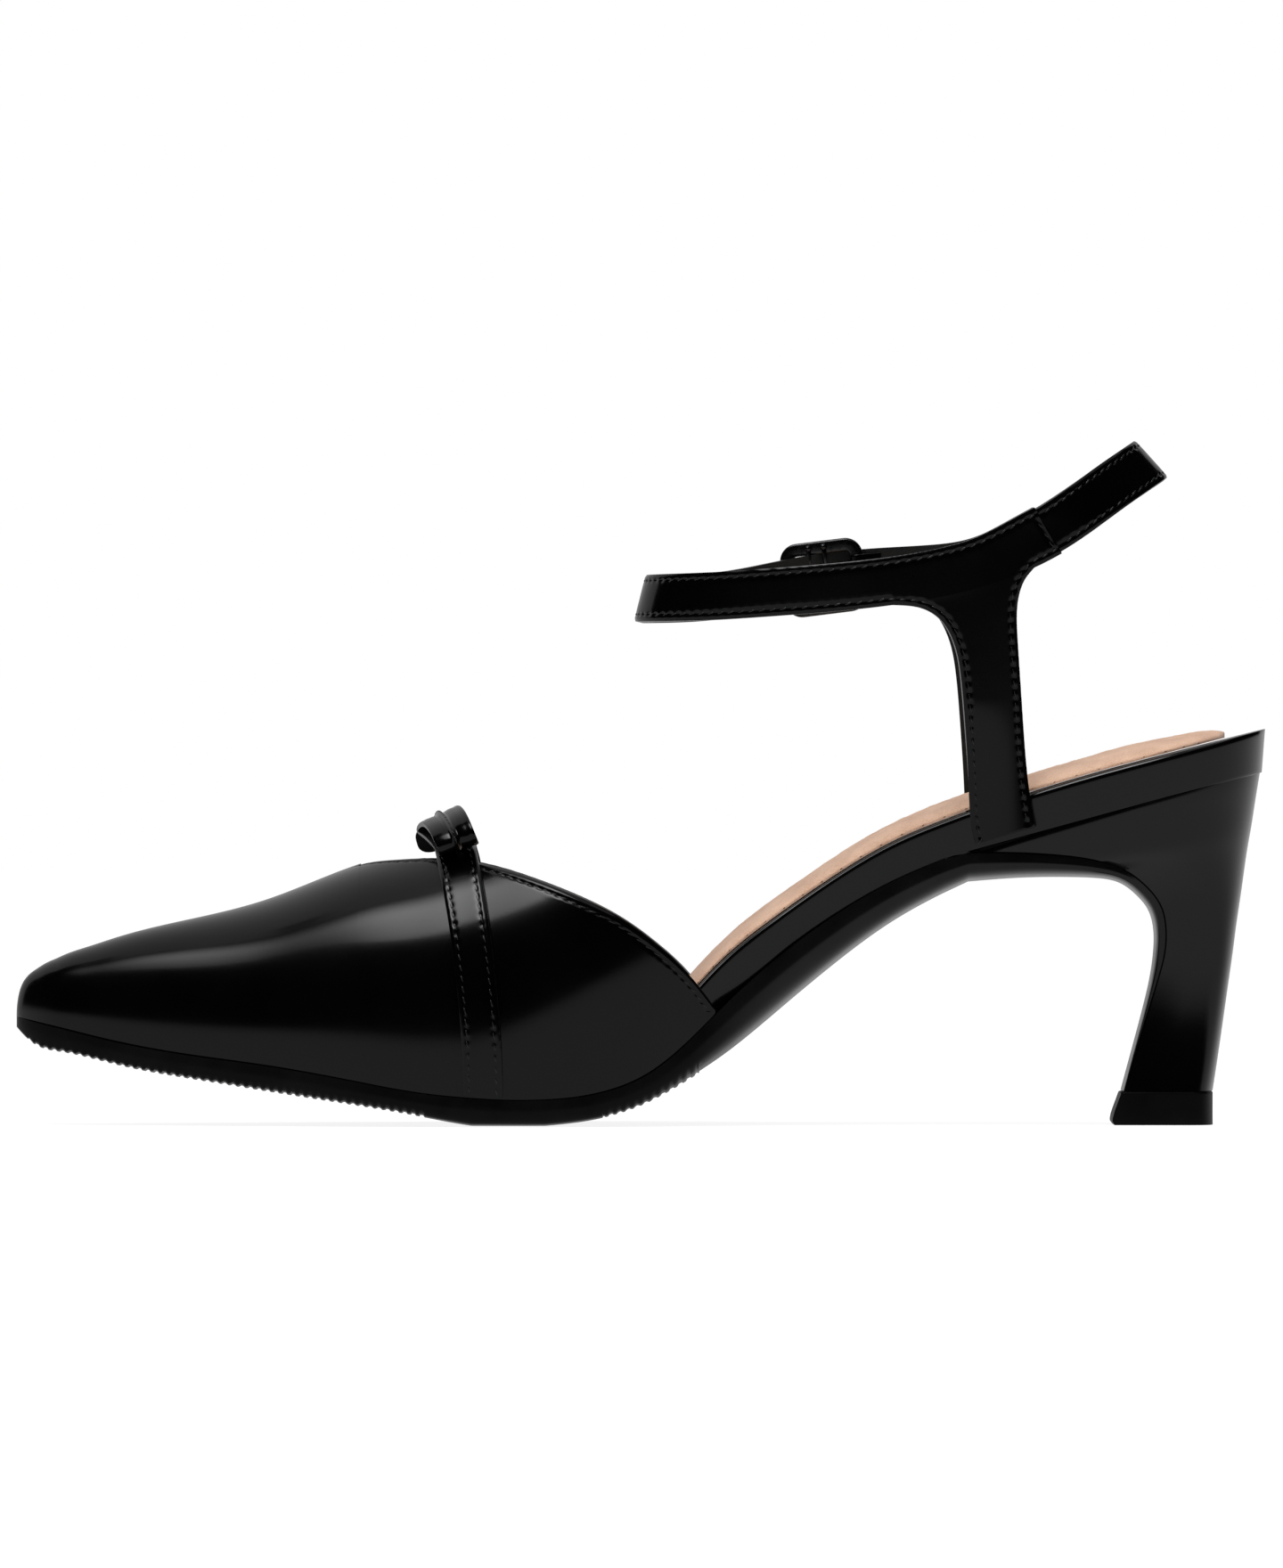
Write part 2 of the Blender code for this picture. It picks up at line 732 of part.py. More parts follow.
def build_bow_loop(name: str, side: int, material: Finish) -> None:
    """One folded loop of the bow, lying on the instep strap from the knot outwards."""
    middle = (BOW_INNER_TURN + BOW_OUTER_TURN) / 2
    reach = (BOW_INNER_TURN - BOW_OUTER_TURN) / 2
    chord = vamp_point(BAND_CREST, BOW_INNER_TURN) - vamp_point(BAND_CREST, BOW_OUTER_TURN)
    wall_turn = BOW_WALL * 2 * reach / chord.length
    floor = GAP + BAND_WALL + GAP
    mesh = bmesh.new()

    def surface(width: float, share: float, depth: float) -> Vector:
        angle = share * 2 * math.pi
        turn = middle + (reach - wall_turn * depth) * squared(math.cos(angle), BOW_SQUARE)
        half = BOW_HEIGHT / 2 * mix(1.0, BOW_PINCH, (1 + math.cos(angle)) / 2)
        lift = floor + half + (half - BOW_WALL * depth) * squared(math.sin(angle), BOW_SQUARE)
        skew = BOW_SKEW[side] * (BOW_INNER_TURN - turn) / (2 * reach)
        along = BAND_CREST + skew + (width - 0.5) * BAND_WIDTH
        return vamp_lifted(along, turn if side == MEDIAL else 2 - turn, lift)

    for depth in (0, 1):
        strip(mesh, 2, 20, lambda width, share, depth=depth: surface(width, share, depth))
    for width in (0, 1):
        strip(mesh, 1, 20, lambda depth, share, width=width: surface(width, share, depth))
    weld(mesh)
    bmesh.ops.recalc_face_normals(mesh, faces=mesh.faces)
    add_object(name, mesh, material)


def build_bow_knot(material: Finish) -> None:
    """Short band wrapped round the instep strap between the two loops."""
    mesh = bmesh.new()
    middle = (KNOT_OVER - KNOT_UNDER) / 2
    half = (KNOT_OVER + KNOT_UNDER) / 2

    def surface(width: float, share: float) -> Vector:
        angle = share * 2 * math.pi
        turn = 1 + (width - 0.5) * 2 * KNOT_HALF_TURN
        along = squared(math.cos(angle), KNOT_SQUARE) * KNOT_HALF_LENGTH
        lift = middle + squared(math.sin(angle), KNOT_SQUARE) * half
        return vamp_lifted(BAND_CREST + along, turn, lift)

    strip(mesh, 2, 20, surface)
    weld(mesh)
    face_away(mesh, vamp_lifted(BAND_CREST, 1.0, middle))
    thicken(add_object("bow_knot", mesh, material), BOW_WALL)


def ring_angle(along: float, side: int) -> float:
    """Angle round the ankle for a place along the shoe: 0 at the back, pi at the front."""
    middle = (RING_FRONT + RING_BACK) / 2
    angle = math.acos((along - middle) / (RING_BACK - middle))
    return angle if side == MEDIAL else 2 * math.pi - angle


def ring_point(angle: float, width: float, out: float) -> Vector:
    """Point of the ankle strap: angle round the ankle, width from its middle line, out from its skin."""
    middle = (RING_FRONT + RING_BACK) / 2
    along = middle + (RING_BACK - middle + out) * math.cos(angle)
    across = -(RING_HALF_WIDTH + out) * math.sin(angle)
    table_along = middle + (RING_BACK - middle) * math.cos(angle)
    up = RING_UP.at(table_along)
    if across > 0:
        up += RING_LIFT.at(table_along)
    lean = math.radians(RING_LEAN.at(table_along))
    return Vector((along + width * math.sin(lean), across, up + width * math.cos(lean)))


def fork_angles(side: int) -> list[float]:
    """Angles of the ankle strap's columns that the T-bar hangs from, back to front."""
    return [ring_angle(along, side) for along in even(SEAM_ALONG, FORK_FRONT, FORK_COLUMNS)]


def hung_point(share: float, down: float, side: int) -> Vector:
    """Point between the T-bar's back and front edges, down from the strap to the seat."""
    along = mix(BAR_CURVES["back"].at(down), BAR_CURVES["front"].at(down), share)
    up = mix(BAR_CURVES["back_up"].at(down), BAR_CURVES["front_up"].at(down), share)
    rim = half_width(along, side, RIM_INSET) + GAP + STRAP_WALL
    middle = (RING_FRONT + RING_BACK) / 2
    ring = RING_HALF_WIDTH * math.sqrt(1 - ((along - middle) / (RING_BACK - middle)) ** 2)
    return Vector((along, side * mix(rim, ring, blend(*BAR_BLEND, up)), up))


def t_bar_point(share: float, down: float, side: int) -> Vector:
    """Point of the T-bar, its first row drawn to the lower edge of the ankle strap."""
    angles = fork_angles(side)
    top = ring_point(angles[round(share * FORK_COLUMNS)], -STRAP_WIDTH / 2, 0.0)
    return hung_point(share, down, side) + (top - hung_point(share, 0.0, side)) * (1 - down) ** 4


def hang_t_bar(mesh: bmesh.types.BMesh, side: int) -> None:
    """Adds the T-bar's grid under the ankle strap."""
    last = len(BAR_DOWNS) - 1
    strip(mesh, FORK_COLUMNS, last, lambda share, row: t_bar_point(share, BAR_DOWNS[round(row * last)], side))


def lay_strap(
    mesh: bmesh.types.BMesh, angles: Sequence[float], width: float, out: Callable[[float], float]
) -> None:
    """Adds a band of the ankle strap through a row of angles."""
    last = len(angles) - 1

    def surface(share: float, place: float) -> Vector:
        angle = angles[round(place * last)]
        return ring_point(angle, (share - 0.5) * width, out(angle))

    strip(mesh, 2, last, surface)


def overlap_out(angle: float) -> float:
    """Distance by which the long end rises over the buckle's heel bar and the short branch."""
    if angle <= math.pi:
        return 0.0
    middle = (RING_FRONT + RING_BACK) / 2
    along = middle + (RING_BACK - middle) * math.cos(angle)
    return OVERLAP_HEIGHT * blend(*OVERLAP_RISE, along)


def local_axes(along: float, out: float) -> Matrix:
    """Axes on the lateral strap: x towards the heel, y across its width, z out of it."""
    angle = ring_angle(along, LATERAL)
    step = 0.01
    here = ring_point(angle, 0.0, out)
    x_axis = (ring_point(angle + step, 0.0, out) - ring_point(angle - step, 0.0, out)).normalized()
    y_axis = (ring_point(angle, 1.0, out) - here).normalized()
    z_axis = x_axis.cross(y_axis).normalized()
    if z_axis.y < 0:
        z_axis.negate()
    axes = Matrix((x_axis, y_axis, z_axis)).transposed().to_4x4()
    return Matrix.Translation(to_frame(here)) @ axes


def build_ankle_strap_medial(material: Finish) -> None:
    """T-bar, back branch and the long branch round the front of the ankle to the free end."""
    front = even(ring_angle(FORK_FRONT, MEDIAL), math.pi, 10)
    free = even(math.pi, ring_angle(FREE_END, LATERAL), 18)
    mesh = bmesh.new()
    lay_strap(mesh, fork_angles(MEDIAL) + front[1:] + free[1:], STRAP_WIDTH, overlap_out)
    hang_t_bar(mesh, MEDIAL)
    weld(mesh)
    face_away(mesh, Vector((178.0, 0.0, 95.0)))
    strap = add_object("ankle_strap_medial", mesh, material)
    thicken(strap, STRAP_WALL)
    cutter_mesh = bmesh.new()
    bmesh.ops.create_cube(cutter_mesh, size=1.0)
    bmesh.ops.scale(cutter_mesh, vec=Vector(SLOT_SIZE) * MM, verts=cutter_mesh.verts)
    cutter = add_object("prong_slot", cutter_mesh, material)
    cutter.matrix_world = local_axes(SLOT_ALONG, 0.0)
    cutter.hide_render = True
    cutter.display_type = "WIRE"
    slot = strap.modifiers.new("slot", "BOOLEAN")
    slot.operation = "DIFFERENCE"
    slot.solver = "EXACT"
    slot.object = cutter


def build_ankle_strap_lateral(material: Finish) -> None:
    """T-bar, back branch and the short branch that ends at the buckle."""
    mesh = bmesh.new()
    angles = fork_angles(LATERAL) + [ring_angle(SHORT_END, LATERAL)]
    lay_strap(mesh, angles, STRAP_WIDTH, lambda angle: 0.0)
    hang_t_bar(mesh, LATERAL)
    weld(mesh)
    face_away(mesh, Vector((190.0, 0.0, 95.0)))
    thicken(add_object("ankle_strap_lateral", mesh, material), STRAP_WALL)


def build_back_strap(material: Finish) -> None:
    """Band round the back of the ankle, its ends tucked inside the two T straps."""
    end = ring_angle(BACK_STRAP_TUCK, MEDIAL)
    mesh = bmesh.new()
    lay_strap(mesh, even(-end, end, 20), BACK_STRAP_WIDTH, lambda angle: -STRAP_WALL - GAP)
    face_away(mesh, Vector((190.0, 0.0, 120.0)))
    thicken(add_object("back_strap", mesh, material), BACK_STRAP_WALL)


def wire(name: str, points: Sequence[Vector], radius: float, closed: bool, material: Finish) -> None:
    """Round wire through points of the part's frame."""
    data = bpy.data.curves.new(name, "CURVE")
    data.dimensions = "3D"
    data.bevel_depth = radius * MM
    data.bevel_resolution = 2
    data.use_fill_caps = not closed
    path = data.splines.new("POLY")
    path.points.add(len(points) - 1)
    for spot, point in zip(path.points, points):
        spot.co = (*point, 1.0)
    path.use_cyclic_u = closed
    data.materials.append(material)
    made = bpy.data.objects.new(name, data)
    bpy.context.scene.collection.objects.link(made)


def buckle_bars() -> tuple[Matrix, float]:
    """Axes and half length of the buckle's frame, from the short branch to over the long one."""
    front_out = overlap_out(ring_angle(BUCKLE_FRONT, LATERAL)) + GAP + BUCKLE_WIRE + BUCKLE_PLAY
    heel = local_axes(BUCKLE_HEEL, -STRAP_WALL / 2).to_translation()
    front = local_axes(BUCKLE_FRONT, front_out).to_translation()
    middle = (heel + front) / 2
    x_axis = (heel - front).normalized()
    y_axis = local_axes((BUCKLE_FRONT + BUCKLE_HEEL) / 2, 0.0).to_3x3().col[1]
    z_axis = x_axis.cross(y_axis).normalized()
    if z_axis.y < 0:
        z_axis.negate()
    y_axis = z_axis.cross(x_axis).normalized()
    axes = Matrix((x_axis, y_axis, z_axis)).transposed().to_4x4()
    return Matrix.Translation(middle) @ axes, (heel - front).length / 2 / MM


def build_buckle(material: Finish) -> None:
    """Rectangular wire frame with round corners, and a prong from its heel bar to its front bar."""
    axes, half_length = buckle_bars()
    corners = []
    for x_sign, y_sign, start in ((1, 1, 0), (-1, 1, 90), (-1, -1, 180), (1, -1, 270)):
        for angle in (start, start + 45, start + 90):
            turn = math.radians(angle)
            x_place = x_sign * (half_length - BUCKLE_CORNER) + BUCKLE_CORNER * math.cos(turn)
            y_place = y_sign * (BUCKLE_HALF_HEIGHT - BUCKLE_CORNER) + BUCKLE_CORNER * math.sin(turn)
            corners.append(axes @ Vector((x_place * MM, y_place * MM, 0.0)))
    wire("buckle_frame", corners, BUCKLE_WIRE, True, material)
    clear = BUCKLE_WIRE + PRONG_WIRE + GAP
    root = half_length - clear - 0.1
    route = (
        (root, 0.0),
        (root - 0.8 * PRONG_CREST, 0.8 * PRONG_CREST),
        (root - 1.5 * PRONG_CREST, PRONG_CREST),
        (-half_length + BUCKLE_WIRE, clear + GAP),
        (-half_length - PRONG_TIP, clear),
    )
    points = [axes @ Vector((x_place * MM, 0.0, z_place * MM)) for x_place, z_place in route]
    wire("buckle_prong", points, PRONG_WIRE, False, material)


def finish(name: str, colour: tuple[float, float, float], roughness: float, metallic: float) -> Finish:
    """Plain surface with a colour, a roughness and a metallic value."""
    made = bpy.data.materials.new(name)
    made.use_nodes = True
    surface = made.node_tree.nodes["Principled BSDF"]
    surface.inputs["Base Color"].default_value = (*colour, 1.0)
    surface.inputs["Roughness"].default_value = roughness
    surface.inputs["Metallic"].default_value = metallic
    return made


def build_shoe() -> None:
    """Clears the scene and builds every piece of the shoe."""
    for old in list(bpy.data.objects):
        bpy.data.objects.remove(old, do_unlink=True)
    leather = finish("black_leather", (0.006, 0.006, 0.006), 0.16, 0.0)
    rubber = finish("black_rubber", (0.014, 0.014, 0.014), 0.55, 0.0)
    suede = finish("tan_suede", (0.72, 0.45, 0.30), 0.9, 0.0)
    metal = finish("dark_metal", (0.10, 0.10, 0.11), 0.25, 1.0)
    build_outsole(rubber)
    build_heel(leather)
    build_top_lift(rubber)
    build_footbed_rim(leather)
    build_insole(suede)
    build_upper(leather)
    build_instep_strap(leather)
    build_bow_loop("bow_loop_medial", MEDIAL, leather)
    build_bow_loop("bow_loop_lateral", LATERAL, leather)
    build_bow_knot(leather)
    build_ankle_strap_medial(leather)
    build_ankle_strap_lateral(leather)
    build_back_strap(leather)
    build_buckle(metal)


build_shoe()
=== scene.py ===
"""Dressed pointed pump for the right foot: polished leather, moulded tread, padded sock and a dark buckle.

Sizes are in millimetres, along from the toe tip, across from the axis of the foot and up from the floor.
"""

import logging
import math
from bisect import bisect_right
from dataclasses import dataclass, field
from enum import Enum, IntEnum
from typing import Any, Callable, Iterable, Sequence

import bmesh
import bpy
import numpy
from mathutils import Matrix, Vector, noise
from mathutils.bvhtree import BVHTree
from mathutils.kdtree import KDTree


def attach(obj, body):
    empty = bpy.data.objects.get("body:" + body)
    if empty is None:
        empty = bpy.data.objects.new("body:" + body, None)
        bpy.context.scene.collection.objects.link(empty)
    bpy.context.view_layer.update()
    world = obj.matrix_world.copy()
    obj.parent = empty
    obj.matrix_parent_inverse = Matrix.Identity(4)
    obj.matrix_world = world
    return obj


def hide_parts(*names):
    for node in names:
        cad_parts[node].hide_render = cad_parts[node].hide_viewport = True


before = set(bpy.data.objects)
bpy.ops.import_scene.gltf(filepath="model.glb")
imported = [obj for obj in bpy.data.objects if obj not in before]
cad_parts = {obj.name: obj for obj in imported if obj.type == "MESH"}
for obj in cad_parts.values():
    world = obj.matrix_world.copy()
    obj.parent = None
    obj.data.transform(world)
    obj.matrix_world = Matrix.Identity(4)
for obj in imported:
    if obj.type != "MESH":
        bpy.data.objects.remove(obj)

LOG = logging.getLogger("pump")
MM = 0.001
MIDDLE_ALONG = 124.06
MIDDLE_ACROSS = -0.48
GAP = 0.3
WELD = 0.002
LINE_STEP = 0.5
SEARCH_STEP = 0.25
BEVEL_ANGLE = 50.0
SHARP_RIBS = 30.0
SHARP_FOLD = 35.0
SHARP_FORM = 50.0
SHARP_SHEET = 60.0

Surface = Callable[[float, float], Vector]


class Side(IntEnum):
    """Side of the foot, as the sign of the axis across it."""

    MEDIAL = -1
    LATERAL = 1


class Slot(Enum):
    """Material slots of the part's record."""

    LEATHER = "leather"
    SOLE = "sole_rubber"
    LIFT = "lift_rubber"
    SOCK = "sock"
    METAL = "metal"


def blend(low: float, high: float, value: float) -> float:
    """Smooth step.

    Args:
        low: value where the step is 0.
        high: value where the step is 1.
        value: place on the step.

    Returns:
        Share from 0 to 1.
    """
    share = min(max((value - low) / (high - low), 0.0), 1.0)
    return share * share * (3 - 2 * share)


def mix(first: float, second: float, share: float) -> float:
    """Value at a share of the way from the first to the second."""
    return first + (second - first) * share


def squared(value: float, power: float) -> float:
    """Sine or cosine pushed outwards, which squares up an ellipse."""
    return math.copysign(abs(value) ** power, value)


def even(first: float, last: float, count: int) -> list[float]:
    """Evenly spaced places, both ends included."""
    return [mix(first, last, step / count) for step in range(count + 1)]


def round_start(along: float, length: float, power: float = 2.0) -> float:
    """Elliptic growth from 0 at the start to 1 at the given length, squarer with a higher power."""
    left = max(1 - along / length, 0.0)
    return max(1 - left**power, 0.0) ** (1 / power)


def both_sides(row: Sequence[Any], shared: int = 1) -> list[tuple[Side, Any]]:
    """Row on the medial side, then backwards on the lateral side without the last items that both share."""
    back = row[: len(row) - shared][::-1]
    return [(Side.MEDIAL, item) for item in row] + [(Side.LATERAL, item) for item in back]


def across_strap(near: Sequence[float], half: float) -> list[float]:
    """Places across a strap, from distances to its edges that are closer beside the stitches."""
    return [-half + place for place in near] + [0.0] + [half - place for place in reversed(near)]


def to_frame(point: Vector) -> Vector:
    """Point of the shoe in millimetres, moved to the part's frame in metres."""
    return Vector((point.x - MIDDLE_ALONG, point.y - MIDDLE_ACROSS, point.z)) * MM


def from_frame(place: Vector) -> Vector:
    """Place in the part's frame in metres, as a point of the shoe in millimetres."""
    return place / MM + Vector((MIDDLE_ALONG, MIDDLE_ACROSS, 0.0))


def soften(points: Sequence[tuple[float, ...]], times: int) -> list[tuple[float, ...]]:
    """Cuts the corners of an open line.

    Args:
        points: corner points of the line.
        times: how often the corners are cut.

    Returns:
        Points of the rounded line, with both ends kept.
    """
    line = [tuple(point) for point in points]
    for _ in range(times):
        cut = [line[0]]
        for here, there in zip(line, line[1:]):
            cut.append(tuple(mix(a, b, 0.25) for a, b in zip(here, there)))
            cut.append(tuple(mix(a, b, 0.75) for a, b in zip(here, there)))
        line = cut + [line[-1]]
    return line


class Curve:
    """Natural cubic curve through places and values."""

    def __init__(self, places: Sequence[float], values: Sequence[float]) -> None:
        """Solves the bends of the curve.

        Args:
            places: rising places.
            values: value at each place.
        """
        count = len(places)
        step = numpy.diff(numpy.array(places, dtype=float))
        slope = numpy.diff(numpy.array(values, dtype=float)) / step
        system = numpy.eye(count)
        right = numpy.zeros(count)
        for row in range(1, count - 1):
            system[row, row - 1 : row + 2] = (step[row - 1], 2 * (step[row - 1] + step[row]), step[row])
            right[row] = 6 * (slope[row] - slope[row - 1])
        self.places = [float(place) for place in places]
        self.values = [float(value) for value in values]
        self.bends = numpy.linalg.solve(system, right).tolist()

    def at(self, place: float) -> float:
        """Value at a place, held level past both ends.

        Args:
            place: place on the curve.

        Returns:
            The curve's value.
        """
        place = min(max(place, self.places[0]), self.places[-1])
        row = min(bisect_right(self.places, place) - 1, len(self.places) - 2)
        width = self.places[row + 1] - self.places[row]
        ahead = (self.places[row + 1] - place) / width
        behind = 1 - ahead
        cubic = (ahead**3 - ahead) * self.bends[row] + (behind**3 - behind) * self.bends[row + 1]
        return ahead * self.values[row] + behind * self.values[row + 1] + cubic * width**2 / 6


class Table:
    """Short table with named columns."""

    def __init__(self, columns: str, *rows: tuple[float, ...]) -> None:
        """Keeps the rows by the names of their columns.

        Args:
            columns: names of the columns, parted by spaces.
            rows: values in the order of the names.
        """
        self.columns = {name: [row[place] for row in rows] for place, name in enumerate(columns.split())}
        self.count = len(rows)

    def curve(self, name: str, by: str | None = "along") -> Curve:
        """Curve through one column, by another column or by the number of the row."""
        places = list(range(self.count)) if by is None else self.columns[by]
        return Curve(places, self.columns[name])

    def rows(self, *names: str) -> list[tuple[float, ...]]:
        """Rows of the named columns."""
        return list(zip(*(self.columns[name] for name in names)))


LAST_PLAN = Table(
    "along medial lateral",
    (0, 0.092, 0.092),
    (10, 0.154, 0.153),
    (25, 0.233, 0.229),
    (50, 0.350, 0.337),
    (75, 0.455, 0.432),
    (95, 0.500, 0.487),
    (110, 0.482, 0.503),
    (125, 0.421, 0.489),
    (140, 0.340, 0.439),
    (160, 0.274, 0.374),
    (180, 0.276, 0.342),
    (200, 0.316, 0.342),
    (222, 0.345, 0.350),
    (248, 0.350, 0.350),
)
SOLE_PROFILE = Table(
    "along seat base shank",
    (0, 21.4, 19.4, 0),
    (3, 20.6, 16.4, 0),
    (9, 19.1, 14.4, 0),
    (20, 16.5, 11.9, 0),
    (35, 13.9, 9.1, 0),
    (50, 11.9, 6.7, 0),
    (68, 8.8, 3.9, 0),
    (80, 6.7, 1.9, 0),
    (90, 5.7, 0.1, 0),
    (97, 5.3, -0.5, 0),
    (104, 5.3, -0.1, 0),
    (111, 5.8, 0.6, 0),
    (118, 7.2, 1.9, 0),
    (125, 10.1, 4.3, 0.1),
    (132, 15.4, 8.0, 0.4),
    (140, 23.3, 13.2, 0.8),
    (150, 32.4, 21.5, 1),
    (160, 40.0, 29.9, 1),
    (174, 48.4, 40.3, 1),
    (188.6, 54.5, 48.1, 1),
)
EDGE_PROFILE = Table(
    "tread_inset tread_drop shank_inset shank_drop",
    (0.014, 0, 0.024, 0),
    (0, 0.5, 0, 0.48),
    (0.025, 0.8, 0.05, 0.72),
    (0.06, 0.94, 0.19, 0.89),
    (0.40, 1, 0.55, 0.97),
    (1, 1, 1, 1),
)
VAMP_RIDGE = Table(
    "along height",
    (0, 14.2),
    (1.3, 12.8),
    (2.5, 12.15),
    (4, 11.95),
    (5.5, 12.35),
    (7.2, 13.15),
    (9.1, 14.45),
    (14.4, 17.6),
    (20, 20.7),
    (35, 27.0),
    (50, 32.9),
    (68.4, 43.1),
    (80, 48.4),
    (92, 53.6),
    (105, 58.6),
    (120, 61.5),
    (140, 58.0),
)
TOPLINE = Table(
    "along up",
    (66, 51.0),
    (70, 52.1),
    (76, 52.8),
    (83, 53.1),
    (92, 52.2),
    (103, 48.9),
    (113, 44.8),
    (121, 40.5),
    (128, 35.3),
    (134, 29.6),
    (139.4, 22.6),
)
FOOTBED = Table(
    "along rise",
    (104, 0.0),
    (111, 0.4),
    (118, 2.6),
    (127, 6.8),
    (136, 9.2),
    (150, 8.3),
    (174, 7.7),
    (190, 7.6),
    (209, 8.2),
    (230, 8.2),
    (248, 7.9),
)
HEEL = Table(
    "front front_up back back_up half plan_share round flap flap_up",
    (188.6, 54.2, 247.0, 70.1, 26.0, 1.00, 27.0, 189.0, 48.2),
    (199.7, 54.1, 246.4, 66.4, 22.6, 0.75, 26.0, 200.0, 49.0),
    (209.1, 53.4, 245.8, 62.6, 21.4, 0.55, 24.5, 209.4, 49.1),
    (214.8, 52.4, 245.2, 58.8, 20.0, 0.42, 21.0, 214.6, 48.9),
    (219.9, 50.6, 244.5, 54.8, 17.8, 0.20, 16.0, 219.0, 48.0),
    (224.3, 47.3, 243.8, 50.0, 15.2, 0.06, 10.5, 222.6, 45.4),
    (227.2, 43.4, 243.1, 45.0, 13.2, 0.0, 7.2, 225.0, 42.2),
    (228.2, 39.0, 242.3, 39.6, 11.9, 0.0, 5.4, 225.9, 38.2),
    (228.0, 34.2, 241.6, 34.2, 11.1, 0.0, 4.6, 225.8, 34.0),
    (226.6, 28.6, 240.8, 28.6, 10.8, 0.0, 4.2, 225.0, 28.4),
    (224.3, 20.9, 239.7, 20.9, 10.9, 0.0, 4.0, 223.2, 20.8),
    (222.0, 13.3, 238.6, 13.3, 11.5, 0.0, 4.0, 221.2, 13.2),
    (220.2, 6.8, 237.6, 6.8, 12.4, 0.0, 4.2, 219.5, 6.8),
)
TOP_LIFT = Table("up front flare", (6.4, 219.2, 1.0), (1.0, 217.2, 1.02), (0.0, 217.9, 1.0))
RIM_FOOT = Table("share rise", (0.93, -0.09), (0.96, -0.06))
RIM_WALL = Table(
    "share rise",
    (0.968, 0),
    (0.973, 0.12),
    (0.985, 0.45),
    (0.997, 0.78),
    (0.996, 0.93),
    (0.965, 1),
    (0.90, 1),
    (0.45, 1),
)
SOCK_SECTION = Table(
    "share rise",
    (1, 0),
    (1, 0.22),
    (0.93, 0.46),
    (0.80, 0.68),
    (0.50, 0.91),
    (0.16, 1),
    (0, 1),
)
ANKLE_RING = Table(
    "along up lean lift",
    (123.8, 104.6, 14, 0),
    (138, 104.8, 5, 0.3),
    (150, 105.5, 1, 1.6),
    (166, 106.8, -3, 2.8),
    (181, 108.9, -8, 1.7),
    (192, 111.8, -18, 0.4),
    (201, 115.8, -28, 0),
    (209, 120.2, -34, 0),
    (217, 125.3, -37, 0),
    (227.6, 132.3, -42, 0),
)
T_BAR = Table(
    "share back back_up front front_up",
    (0.0, 202.2, 110.2, 173.6, 103.0),
    (0.05, 200.8, 108.7, 178.0, 102.7),
    (0.10, 199.8, 107.2, 181.2, 101.6),
    (0.16, 199.0, 105.0, 183.8, 99.4),
    (0.23, 198.5, 102.0, 185.7, 95.9),
    (0.35, 198.6, 95.6, 187.1, 90.0),
    (0.55, 199.4, 83.0, 188.1, 79.0),
    (0.75, 200.2, 71.5, 188.7, 68.0),
    (0.90, 201.1, 63.6, 189.2, 59.8),
    (1.0, 201.8, 59.2, 190.1, 55.6),
)


